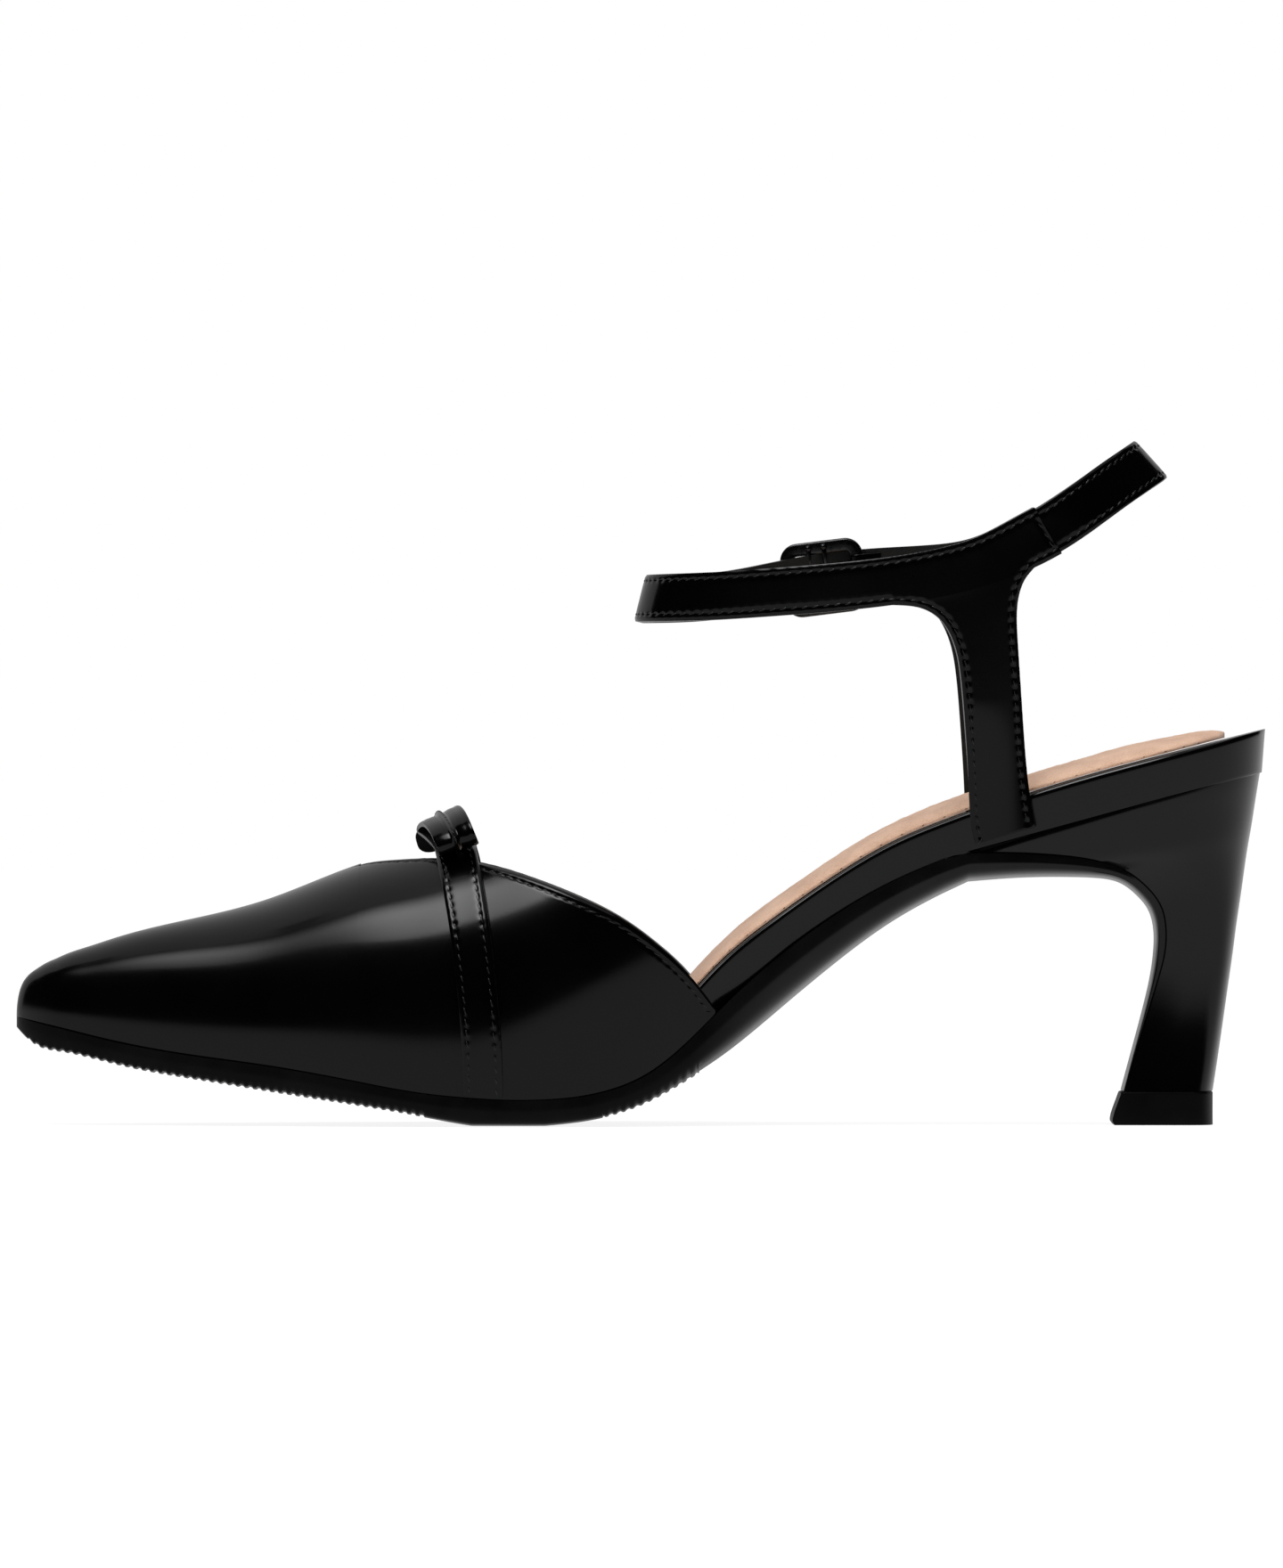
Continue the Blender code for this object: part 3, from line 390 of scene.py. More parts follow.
@dataclass(frozen=True)
class Last:
    """Form of the foot that the shoe is made on."""

    length: float = 248.0
    ball_width: float = 76.0
    nose_length: float = 9.0
    nose_height_length: float = 7.5
    heel_round: float = 27.0
    heel_power: float = 2.6
    seat_start: float = 188.6
    seat_height: float = 54.5
    seat_pitch: float = 0.272
    throat_along: float = 68.4
    upper_inset: float = 0.8
    fullness: float = 0.10
    wing_fullness: float = 0.24
    wing_range: tuple[float, float] = (88.0, 126.0)
    probe: float = 0.1
    probe_turn: float = 0.01
    half: dict[Side, Curve] = field(
        default_factory=lambda: {side: LAST_PLAN.curve(side.name.lower()) for side in Side}
    )
    seat: Curve = field(default_factory=lambda: SOLE_PROFILE.curve("seat"))
    rise: Curve = field(default_factory=lambda: FOOTBED.curve("rise"))
    ridge: Curve = field(default_factory=lambda: VAMP_RIDGE.curve("height"))
    topline: Curve = field(default_factory=lambda: TOPLINE.curve("up"))

    def taper(self, along: float, side: Side, inset: float) -> float:
        """Half width on one side, before its ends are rounded."""
        return self.half[side].at(along) * self.ball_width - inset

    def half_width(self, along: float, side: Side, inset: float) -> float:
        """Half width on one side, rounded at the toe tip and at the back.

        Args:
            along: place from the toe tip.
            side: side of the foot.
            inset: distance inside the last's plan.

        Returns:
            The half width in millimetres.
        """
        taper = self.taper(along, side, inset)
        back = round_start(self.length - along, self.heel_round, self.heel_power)
        return taper * round_start(along, self.nose_length) * back

    def seat_up(self, along: float) -> float:
        """Height of the feather edge, which runs on as the straight seat of the heel.

        Args:
            along: place from the toe tip.

        Returns:
            The height in millimetres.
        """
        if along > self.seat_start:
            return self.seat_height + self.seat_pitch * (along - self.seat_start)
        return self.seat.at(along)

    def footbed_up(self, along: float) -> float:
        """Height of the footbed's upper face."""
        return self.seat_up(along) + max(self.rise.at(along), 0.0)

    def skin(self, along: float, turn: float) -> Vector:
        """Point of the last's skin.

        Args:
            along: place from the toe tip.
            turn: 0 at the medial feather edge, 1 at the ridge and 2 at the lateral edge.

        Returns:
            The point in millimetres.
        """
        side = Side.MEDIAL if turn <= 1 else Side.LATERAL
        angle = turn * math.pi / 2
        half = self.half_width(along, side, self.upper_inset)
        fullness = mix(self.fullness, self.wing_fullness, blend(*self.wing_range, along))
        across = half * (abs(math.cos(angle)) + fullness * abs(math.sin(2 * angle)))
        height = self.ridge.at(along) * round_start(along, self.nose_height_length)
        return Vector((along, side * across, self.seat_up(along) + height * math.sin(angle)))

    def outward(self, along: float, turn: float) -> Vector:
        """Way out of the skin at a point.

        Args:
            along: place from the toe tip.
            turn: 0 at the medial feather edge, 1 at the ridge and 2 at the lateral edge.

        Returns:
            The way out, of length 1.
        """
        ahead = self.skin(along + self.probe, turn) - self.skin(along - self.probe, turn)
        round_it = self.skin(along, turn + self.probe_turn) - self.skin(along, turn - self.probe_turn)
        return ahead.cross(round_it).normalized()

    def lifted(self, along: float, turn: float, lift: float) -> Vector:
        """Point above the skin."""
        return self.skin(along, turn) + self.outward(along, turn) * lift

    def top_turn(self, along: float) -> float:
        """Turn at which the cut edge of the vamp crosses a section.

        Args:
            along: place from the toe tip.

        Returns:
            The turn, from 0 at the feather edge to 1 at the ridge.
        """
        if along <= self.throat_along:
            return 1.0
        share = (self.topline.at(along) - self.seat_up(along)) / self.ridge.at(along)
        return math.asin(min(max(share, 0.0), 1.0)) / (math.pi / 2)


@dataclass(frozen=True)
class AnkleRing:
    """Line of the ankle strap round the leg."""

    front: float = 123.8
    back: float = 227.6
    half_width: float = 27.5
    upright_front: tuple[float, float] = (136.0, 152.0)
    upright_back: tuple[float, float] = (206.0, 219.0)
    probe: float = 0.01
    probe_width: float = 0.5
    up: Curve = field(default_factory=lambda: ANKLE_RING.curve("up"))
    lean: Curve = field(default_factory=lambda: ANKLE_RING.curve("lean"))
    lift: Curve = field(default_factory=lambda: ANKLE_RING.curve("lift"))

    @property
    def middle(self) -> float:
        """Place of the ring's middle."""
        return (self.front + self.back) / 2

    @property
    def reach(self) -> float:
        """Half length of the ring."""
        return (self.back - self.front) / 2

    def angle(self, along: float, side: Side) -> float:
        """Angle for a place along the shoe: 0 at the back and pi at the front."""
        angle = math.acos((along - self.middle) / self.reach)
        return angle if side == Side.MEDIAL else 2 * math.pi - angle

    def along(self, angle: float) -> float:
        """Place along the shoe for an angle."""
        return self.middle + self.reach * math.cos(angle)

    def point(self, angle: float, width: float, out: float) -> Vector:
        """Point of the strap.

        Args:
            angle: angle round the ankle.
            width: distance from the strap's middle line, upwards.
            out: distance out of the strap's skin.

        Returns:
            The point in millimetres.
        """
        place = self.along(angle)
        lean = math.radians(self.lean.at(place))
        across = -(self.half_width + out) * math.sin(angle)
        upright = blend(*self.upright_front, place) * (1 - blend(*self.upright_back, place))
        if upright > 0:
            slope = self.half_width / self.reach / math.tan(angle)
            across += width * math.sin(lean) * slope * upright
        up = self.up.at(place) + (self.lift.at(place) if across > 0 else 0.0)
        along = self.middle + (self.reach + out) * math.cos(angle)
        return Vector((along + width * math.sin(lean), across, up + width * math.cos(lean)))

    def outward(self, angle: float, width: float) -> Vector:
        """Way out of the strap's skin.

        Args:
            angle: angle round the ankle.
            width: distance from the strap's middle line, upwards.

        Returns:
            The way out, of length 1.
        """
        low, high = width - self.probe_width, width + self.probe_width
        ahead = self.point(angle + self.probe, width, 0.0) - self.point(angle - self.probe, width, 0.0)
        upward = self.point(angle, high, 0.0) - self.point(angle, low, 0.0)
        way = ahead.cross(upward).normalized()
        radial = Vector((math.cos(angle), -math.sin(angle), 0.0))
        return way if way.dot(radial) > 0 else -way

    def axes(self, along: float, out: float) -> Matrix:
        """Axes on the lateral strap.

        Args:
            along: place along the shoe.
            out: distance out of the strap's skin.

        Returns:
            Matrix in the part's frame: x towards the heel, y up across the width, z out.
        """
        angle = self.angle(along, Side.LATERAL)
        here = self.point(angle, 0.0, out)
        ahead = self.point(angle + self.probe, 0.0, out) - self.point(angle - self.probe, 0.0, out)
        x_axis = ahead.normalized()
        y_axis = (self.point(angle, 1.0, out) - here).normalized()
        z_axis = x_axis.cross(y_axis).normalized()
        if z_axis.y < 0:
            z_axis.negate()
        return Matrix.Translation(to_frame(here)) @ Matrix((x_axis, y_axis, z_axis)).transposed().to_4x4()


class Value:
    """Socket of a shader tree that takes part in Python sums."""

    def __init__(self, tree: "Tree", socket: bpy.types.NodeSocket) -> None:
        """Keeps the socket and the tree it is in."""
        self.tree = tree
        self.socket = socket

    def _sum(self, operation: str, first: Any, second: Any) -> "Value":
        """Adds one Math node."""
        return self.tree.node("ShaderNodeMath", {"operation": operation}, {0: first, 1: second})

    def __add__(self, other: Any) -> "Value":
        """Sum."""
        return self._sum("ADD", self, other)

    __radd__ = __add__

    def __sub__(self, other: Any) -> "Value":
        """Difference."""
        return self._sum("SUBTRACT", self, other)

    def __rsub__(self, other: Any) -> "Value":
        """Difference from a number."""
        return self._sum("SUBTRACT", other, self)

    def __mul__(self, other: Any) -> "Value":
        """Product."""
        return self._sum("MULTIPLY", self, other)

    __rmul__ = __mul__

    def __pow__(self, other: float) -> "Value":
        """Power."""
        return self._sum("POWER", self, other)


class Tree:
    """Shader tree of one material, with its surface shader."""

    def __init__(self, name: str) -> None:
        """Starts a material with one surface shader.

        Args:
            name: name of the material.
        """
        self.material = bpy.data.materials.new(name)
        self.material.use_nodes = True
        self.nodes = self.material.node_tree.nodes
        self.shader = self.nodes["Principled BSDF"]

    def feed(self, socket: bpy.types.NodeSocket, value: Any) -> None:
        """Links a value to a socket, or sets the socket's own number or colour.

        Args:
            socket: socket that is fed.
            value: value, number or colour that it takes.
        """
        if isinstance(value, Value):
            self.material.node_tree.links.new(value.socket, socket)
        else:
            socket.default_value = value

    def node(self, kind: str, settings: dict[str, Any], sockets: dict[Any, Any], output: Any = 0) -> Value:
        """Adds a node.

        Args:
            kind: type of the node.
            settings: the node's own settings, set first; stops are a ramp's places and colours.
            sockets: values or links of its sockets.
            output: which output is handed on.

        Returns:
            The output as a value.
        """
        made = self.nodes.new(kind)
        for name, value in settings.items():
            if name == "stops":
                self._fill_ramp(made.color_ramp, value)
            else:
                setattr(made, name, value)
        for key, value in sockets.items():
            self.feed(made.inputs[key], value)
        return Value(self, made.outputs[output])

    @staticmethod
    def _fill_ramp(ramp: bpy.types.ColorRamp, stops: Sequence[tuple[float, tuple[float, ...]]]) -> None:
        """Sets the stops of a colour ramp.

        Args:
            ramp: ramp that is filled.
            stops: place and colour of each stop.
        """
        while len(ramp.elements) < len(stops):
            ramp.elements.new(1.0)
        for element, (place, colour) in zip(ramp.elements, stops):
            element.position = place
            element.color = (*colour, 1.0)

    def place(self) -> Value:
        """Object coordinates."""
        return self.node("ShaderNodeTexCoord", {}, {}, "Object")

    def noise(self, size_mm: float, detail: float = 2.0, stretch: Sequence[float] = (1, 1, 1)) -> Value:
        """Noise from 0 to 1.

        Args:
            size_mm: size of its spots.
            detail: how many finer layers it has.
            stretch: how often it repeats on each axis.

        Returns:
            The noise as a value.
        """
        turned = self.node("ShaderNodeMapping", {}, {"Vector": self.place(), "Scale": stretch})
        sockets = {"Vector": turned, "Scale": 1 / (size_mm * MM), "Detail": detail}
        return self.node("ShaderNodeTexNoise", {}, sockets)

    def cells(self, size_mm: float) -> Value:
        """Distance from the middles of small cells, as in leather grain."""
        sockets = {"Vector": self.place(), "Scale": 1 / (size_mm * MM)}
        return self.node("ShaderNodeTexVoronoi", {"feature": "SMOOTH_F1"}, sockets, "Distance")

    def ease(self, value: Value, low: float, high: float) -> Value:
        """Smooth step from 0 to 1 between two values."""
        sockets = {"Value": value, "From Min": low, "From Max": high}
        return self.node("ShaderNodeMapRange", {"interpolation_type": "SMOOTHSTEP"}, sockets)

    def axis(self, name: str) -> Value:
        """One axis of the object coordinates."""
        return self.node("ShaderNodeSeparateXYZ", {}, {"Vector": self.place()}, name)

    def ramp(self, factor: Value, *stops: tuple[float, tuple[float, ...]]) -> Value:
        """Colours along a factor."""
        return self.node("ShaderNodeValToRGB", {"stops": stops}, {"Fac": factor})

    def bump(self, height: Value, depth_mm: float, under: Value | None = None) -> Value:
        """Relief of a height.

        Args:
            height: height from 0 to 1.
            depth_mm: depth of the whole range.
            under: relief that this one lies on.

        Returns:
            The bent normal.
        """
        sockets: dict[Any, Any] = {"Height": height, "Distance": depth_mm * MM, "Strength": 1.0}
        if under is not None:
            sockets["Normal"] = under
        return self.node("ShaderNodeBump", {}, sockets)

    def finish(self, **sockets: Any) -> bpy.types.Material:
        """Feeds the surface shader, with socket names written in lower case, and hands on the material.

        Args:
            sockets: values, numbers or colours by the names of the sockets.

        Returns:
            The material.
        """
        for name, value in sockets.items():
            label = name.replace("_", " ").title()
            self.feed(self.shader.inputs[label.replace("Specular Level", "Specular IOR Level")], value)
        return self.material


@dataclass(frozen=True)
class PolishedLeather:
    """Smooth dyed leather with a polished face."""

    name: str
    dye: tuple[float, float, float] = (0.0005, 0.0005, 0.00055)
    gloss: tuple[float, float] = (0.13, 0.21)
    wave_mm: float = 9.0
    wave_depth: float = 0.016
    grain_depth: float = 0.0022
    pore_mm: float = 0.55
    fine_mm: float = 0.16
    fine_share: float = 0.6
    cloud_mm: float = 14.0
    fading: float = 1.7
    tone_range: tuple[float, float] = (0.3, 0.75)
    gleam: float = 0.20
    coat: float = 0.17
    coat_roughness: float = 0.08

    def make(self) -> bpy.types.Material:
        """Material with a faint grain, soft waves and uneven polish.

        Returns:
            The material.
        """
        tree = Tree(self.name)
        waves = tree.bump(tree.noise(self.wave_mm, 1.0), self.wave_depth)
        pores = tree.cells(self.pore_mm) + tree.noise(self.fine_mm, 2.0) * self.fine_share
        grain = tree.bump(pores, self.grain_depth, waves)
        cloud = tree.noise(self.cloud_mm, 3.0)
        low, high = self.gloss
        faded = tuple(part * self.fading for part in self.dye)
        tone = tree.ramp(cloud, *zip(self.tone_range, (self.dye, faded)))
        return tree.finish(
            base_color=tone,
            roughness=low + cloud * (high - low),
            specular_level=self.gleam,
            coat_weight=self.coat,
            coat_roughness=self.coat_roughness,
            normal=grain,
        )


@dataclass(frozen=True)
class EdgePaint:
    """Painted cut edge of the leather."""

    name: str = "edge_paint"
    brush_mm: float = 0.5
    brush_depth: float = 0.004
    dark: tuple[float, float, float] = (0.002, 0.002, 0.002)
    light: tuple[float, float, float] = (0.006, 0.006, 0.006)
    tone_range: tuple[float, float] = (0.3, 0.8)
    gloss: float = 0.26
    gloss_spread: float = 0.12
    gleam: float = 0.5
    coat: float = 0.2
    coat_roughness: float = 0.2

    def make(self) -> bpy.types.Material:
        """Satin black with a slightly uneven brush.

        Returns:
            The material.
        """
        tree = Tree(self.name)
        brush = tree.noise(self.brush_mm, 2.0)
        return tree.finish(
            base_color=tree.ramp(brush, *zip(self.tone_range, (self.dark, self.light))),
            roughness=self.gloss + brush * self.gloss_spread,
            specular_level=self.gleam,
            coat_weight=self.coat,
            coat_roughness=self.coat_roughness,
            normal=tree.bump(brush, self.brush_depth),
        )


@dataclass(frozen=True)
class Lining:
    """Thin black lining on the inner faces."""

    name: str = "black_lining"
    gleam: float = 0.3
    pore_mm: float = 0.7
    fine_mm: float = 0.3
    grain_depth: float = 0.03
    cloud_mm: float = 6.0
    dark: tuple[float, float, float] = (0.005, 0.005, 0.005)
    light: tuple[float, float, float] = (0.010, 0.0095, 0.009)
    tone_range: tuple[float, float] = (0.3, 0.7)
    patch_mm: float = 2.0
    gloss: float = 0.52
    gloss_spread: float = 0.16

    def make(self) -> bpy.types.Material:
        """Matt face with a fine close grain.

        Returns:
            The material.
        """
        tree = Tree(self.name)
        grain = tree.cells(self.pore_mm) + tree.noise(self.fine_mm, 3.0)
        cloud = tree.noise(self.cloud_mm, 3.0)
        return tree.finish(
            base_color=tree.ramp(cloud, *zip(self.tone_range, (self.dark, self.light))),
            roughness=self.gloss + tree.noise(self.patch_mm) * self.gloss_spread,
            specular_level=self.gleam,
            normal=tree.bump(grain, self.grain_depth),
        )


@dataclass(frozen=True)
class MouldedRubber:
    """Moulded sole and tip."""

    name: str
    tone: float = 0.003
    gloss: float = 0.24
    gloss_spread: float = 0.14
    grain_mm: float = 0.35
    grain_depth: float = 0.008
    cloud_mm: float = 9.0
    shading: tuple[float, float] = (0.7, 1.5)
    tone_range: tuple[float, float] = (0.3, 0.75)
    gleam: float = 0.06
    coat: float = 0.0
    coat_range: tuple[float, float] = (0.0, 1.0)
    coat_roughness: float = 0.14

    def make(self) -> bpy.types.Material:
        """Dull black with a fine mould grain, polished along part of its length.

        Returns:
            The material.
        """
        tree = Tree(self.name)
        grain = tree.noise(self.grain_mm, 3.0)
        cloud = tree.noise(self.cloud_mm, 4.0)
        polish = tree.ease(tree.axis("X"), *((along - MIDDLE_ALONG) * MM for along in self.coat_range))
        tones = ((self.tone * shade,) * 3 for shade in self.shading)
        return tree.finish(
            base_color=tree.ramp(cloud, *zip(self.tone_range, tones)),
            roughness=self.gloss + cloud * self.gloss_spread,
            specular_level=self.gleam,
            coat_weight=polish * self.coat,
            coat_roughness=self.coat_roughness,
            normal=tree.bump(grain, self.grain_depth),
        )


@dataclass(frozen=True)
class Suede:
    """Tan nap of the padded sock, with painted shade in the nap's low places and painted sheen on its raised
    places.
    """

    name: str = "tan_suede"
    # shade is the painted shade colour of the nap's low places and light the painted sheen colour of its
    # raised places
    shade: tuple[float, float, float] = (0.56, 0.335, 0.225)
    light: tuple[float, float, float] = (0.80, 0.535, 0.385)
    tone_range: tuple[float, float] = (0.34, 0.64)
    nap_mm: float = 0.35
    nap_share: float = 0.45
    nap_depth: float = 0.10
    patch_mm: float = 5.0
    patch_share: float = 0.4
    patch_depth: float = 0.12
    fibre_mm: float = 0.12
    fibre_share: float = 0.15
    fibre_height: float = 0.6
    gloss: float = 0.86
    gloss_spread: float = 0.12
    gleam: float = 0.15
    sheen: float = 0.25
    sheen_roughness: float = 0.5

    def make(self) -> bpy.types.Material:
        """Brushed nap with fine fibres and softly pressed patches; its colour is painted darker where they
        lie low and lighter where they stand up, as shade and sheen.

        Returns:
            The material.
        """
        tree = Tree(self.name)
        nap = tree.noise(self.nap_mm, 4.0)
        brushed = tree.noise(self.patch_mm, 4.0, (1.0, 0.6, 1.0))
        fibres = tree.noise(self.fibre_mm, 2.0, (0.5, 1.0, 1.0))
        # painted shade and sheen: the colour mask follows the same noises as the nap's relief
        painted_nap_shading = nap * self.nap_share + brushed * self.patch_share + fibres * self.fibre_share
        soft = tree.bump(brushed, self.patch_depth)
        return tree.finish(
            base_color=tree.ramp(painted_nap_shading, *zip(self.tone_range, (self.shade, self.light))),
            roughness=self.gloss + nap * self.gloss_spread,
            specular_level=self.gleam,
            sheen_weight=self.sheen,
            sheen_roughness=self.sheen_roughness,
            normal=tree.bump(nap + fibres * self.fibre_height, self.nap_depth, soft),
        )


@dataclass(frozen=True)
class Thread:
    """Twisted sewing thread, with painted shade in the low places of its twist."""

    name: str
    tone: tuple[float, float, float] = (0.006, 0.006, 0.006)
    # shading makes the painted shade colour of the twist's low places
    shading: float = 0.6
    tone_range: tuple[float, float] = (0.3, 0.75)
    twist_mm: float = 0.14
    twist_depth: float = 0.03
    gloss: float = 0.26
    gloss_spread: float = 0.14
    gleam: float = 0.4
    coat: float = 0.15
    coat_roughness: float = 0.2

    def make(self) -> bpy.types.Material:
        """Waxed thread with a fine twist, painted darker where the twist lies low, as shade in its grooves.

        Returns:
            The material.
        """
        tree = Tree(self.name)
        twist = tree.noise(self.twist_mm, 2.0)
        # painted shade: a darker copy of the tone, laid where the twist noise that also gives the relief is
        # low
        dark = tuple(part * self.shading for part in self.tone)
        return tree.finish(
            base_color=tree.ramp(twist, *zip(self.tone_range, (dark, self.tone))),
            roughness=self.gloss + twist * self.gloss_spread,
            specular_level=self.gleam,
            coat_weight=self.coat,
            coat_roughness=self.coat_roughness,
            normal=tree.bump(twist, self.twist_depth),
        )


@dataclass(frozen=True)
class DarkMetal:
    """Plated buckle."""

    name: str = "dark_plating"
    dark: tuple[float, float, float] = (0.030, 0.030, 0.031)
    light: tuple[float, float, float] = (0.075, 0.075, 0.077)
    tone_range: tuple[float, float] = (0.3, 0.8)
    wear_mm: float = 0.9
    grain_mm: float = 0.3
    grain_depth: float = 0.002
    gloss: float = 0.20
    gloss_spread: float = 0.16

    def make(self) -> bpy.types.Material:
        """Smoked plating with faint wear.

        Returns:
            The material.
        """
        tree = Tree(self.name)
        wear = tree.noise(self.wear_mm, 4.0)
        return tree.finish(
            base_color=tree.ramp(wear, *zip(self.tone_range, (self.dark, self.light))),
            metallic=1.0,
            roughness=self.gloss + wear * self.gloss_spread,
            normal=tree.bump(tree.noise(self.grain_mm, 3.0), self.grain_depth),
        )


class Finishes:
    """All finishes of the shoe, made once."""

    def __init__(self) -> None:
        """Makes each material."""
        self.vamp = PolishedLeather("polished_vamp").make()
        self.cover = PolishedLeather(
            "polished_cover", gloss=(0.13, 0.20), wave_depth=0.007, gleam=0.30, coat=0.20
        ).make()
        self.strap = PolishedLeather(
            "polished_strap", gloss=(0.12, 0.19), wave_mm=6.0, wave_depth=0.008, grain_depth=0.0007
        ).make()
        self.edge = EdgePaint().make()
        self.lining = Lining().make()
        self.raw = Lining("raw_edge", gleam=0.08).make()
        self.sole = MouldedRubber("sole_rubber", coat=0.5, coat_range=(128.0, 158.0)).make()
        self.tip = MouldedRubber("tip_rubber", tone=0.0025, gloss=0.34).make()
        self.suede = Suede().make()
        self.thread = Thread("black_thread").make()
        self.tan_thread = Thread("brown_thread", (0.16, 0.085, 0.05)).make()
        self.metal = DarkMetal().make()

    def sheet(self, face: bpy.types.Material) -> list[bpy.types.Material]:
        """Materials of a leather sheet: its face, its lining and its cut edge."""
        return [face, self.lining, self.edge]


def lay_grid(mesh: bmesh.types.BMesh, columns: Sequence[Any], rows: Sequence[Any], surface: Callable) -> None:
    """Adds a grid and lays it on a surface.

    Args:
        mesh: mesh that takes the grid.
        columns: place of each column of points.
        rows: place of each row of points.
        surface: gives the point in millimetres for a column's and a row's place.
    """
    across = len(columns) - 1
    along = len(rows) - 1
    for vert in bmesh.ops.create_grid(mesh, x_segments=across, y_segments=along, size=1.0)["verts"]:
        column = columns[round((vert.co.x + 1) / 2 * across)]
        row = rows[round((vert.co.y + 1) / 2 * along)]
        vert.co = to_frame(surface(column, row))


def weld(mesh: bmesh.types.BMesh) -> None:
    """Joins the seams where grids share their edge points."""
    bmesh.ops.remove_doubles(mesh, verts=mesh.verts, dist=WELD * MM)


def close_up(mesh: bmesh.types.BMesh) -> None:
    """Welds a form, fills its open ends and turns its faces outwards.

    Args:
        mesh: mesh of the form.
    """
    weld(mesh)
    bmesh.ops.holes_fill(mesh, edges=[edge for edge in mesh.edges if edge.is_boundary], sides=0)
    bmesh.ops.recalc_face_normals(mesh, faces=mesh.faces)


def face_away(mesh: bmesh.types.BMesh, inside: Vector) -> None:
    """Turns every face of an open sheet away from a point inside it.

    Args:
        mesh: mesh of the sheet.
        inside: point on its inner side, in millimetres.
    """
    bmesh.ops.recalc_face_normals(mesh, faces=mesh.faces)
    centre = to_frame(inside)
    outward = 0.0
    for face in mesh.faces:
        outward += (face.calc_center_median() - centre).dot(face.normal) * face.calc_area()
    if outward < 0:
        bmesh.ops.reverse_faces(mesh, faces=mesh.faces)


def add_piece(
    name: str,
    mesh: bmesh.types.BMesh,
    materials: Sequence[bpy.types.Material],
    replaces: Sequence[str] = (),
    sharp: float = SHARP_FOLD,
) -> bpy.types.Object:
    """Makes a piece of the shoe from a mesh.

    Args:
        name: name of the piece.
        mesh: its mesh, which is used up.
        materials: its materials, in the order of its faces' numbers.
        replaces: nodes of the part that it stands for.
        sharp: angle in degrees past which an edge stays sharp.

    Returns:
        The piece's object.
    """
    data = bpy.data.meshes.new(name)
    mesh.to_mesh(data)
    mesh.free()
    for material in materials:
        data.materials.append(material)
    data.shade_smooth()
    data.set_sharp_from_angle(angle=math.radians(sharp))
    made = bpy.data.objects.new(name, data)
    bpy.context.scene.collection.objects.link(made)
    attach(made, "root")
    if replaces:
        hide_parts(*replaces)
    LOG.info("%s: %d faces", name, len(data.polygons))
    return made


def lofted_piece(
    name: str,
    node: str,
    rings: Sequence[Sequence[Vector]],
    material: bpy.types.Material,
    sharp: float = SHARP_FORM,
) -> bpy.types.Object:
    """Makes a closed piece of the shoe through rings of equal count.

    Args:
        name: name of the piece.
        node: node of the part that it stands for.
        rings: points of each ring in millimetres.
        material: its material.
        sharp: angle in degrees past which an edge stays sharp.

    Returns:
        The piece's object.
    """
    sides = len(rings[0])
    mesh = bmesh.new()
    lay_grid(mesh, range(sides + 1), range(len(rings)), lambda column, row: rings[row][column % sides])
    close_up(mesh)
    return add_piece(name, mesh, [material], [node], sharp)


@dataclass
class Seam:
    """Line in the leather: its points and the ways out of the leather."""

    points: list[Vector]
    outs: list[Vector]

    def arcs(self) -> list[float]:
        """Length from the start to each point.

        Returns:
            The lengths in millimetres.
        """
        arcs = [0.0]
        for here, there in zip(self.points, self.points[1:]):
            arcs.append(arcs[-1] + (there - here).length)
        return arcs

    def even(self, step: float) -> "Seam":
        """The same line with points a step apart.

        Args:
            step: distance between points, rounded to fit the line.

        Returns:
            The new line.
        """
        arcs = self.arcs()
        count = max(int(round(arcs[-1] / step)), 1)
        points = []
        outs = []
        for arc in even(0.0, arcs[-1], count):
            place = min(max(bisect_right(arcs, arc) - 1, 0), len(arcs) - 2)
            share = (arc - arcs[place]) / max(arcs[place + 1] - arcs[place], 1e-9)
            points.append(self.points[place].lerp(self.points[place + 1], share))
            outs.append(self.outs[place].lerp(self.outs[place + 1], share).normalized())
        return Seam(points, outs)

    def settle(self, leather: bpy.types.Object) -> "Seam":
        """The same line laid on the face of a leather piece, its first material.

        Args:
            leather: piece that it is laid on.

        Returns:
            The new line.
        """
        faces = [face.vertices for face in leather.data.polygons if face.material_index == 0]
        tree = BVHTree.FromPolygons([vert.co for vert in leather.data.vertices], faces)
        points = [from_frame(tree.find_nearest(to_frame(point))[0]) for point in self.points]
        return Seam(points, self.outs)

    def inset(self, distance: float, sense: int) -> "Seam":
        """Line beside this one.

        Args:
            distance: how far it lies inside the edge.
            sense: 1 where the leather lies to the left of the line seen from outside, and -1 to the right.

        Returns:
            The new line.
        """
        line = self.even(LINE_STEP)
        points = []
        last = len(line.points) - 1
        for place, (point, out) in enumerate(zip(line.points, line.outs)):
            ahead = line.points[min(place + 2, last)] - line.points[max(place - 2, 0)]
            points.append(point + out.cross(ahead).normalized() * distance * sense)
        return Seam(points, line.outs)


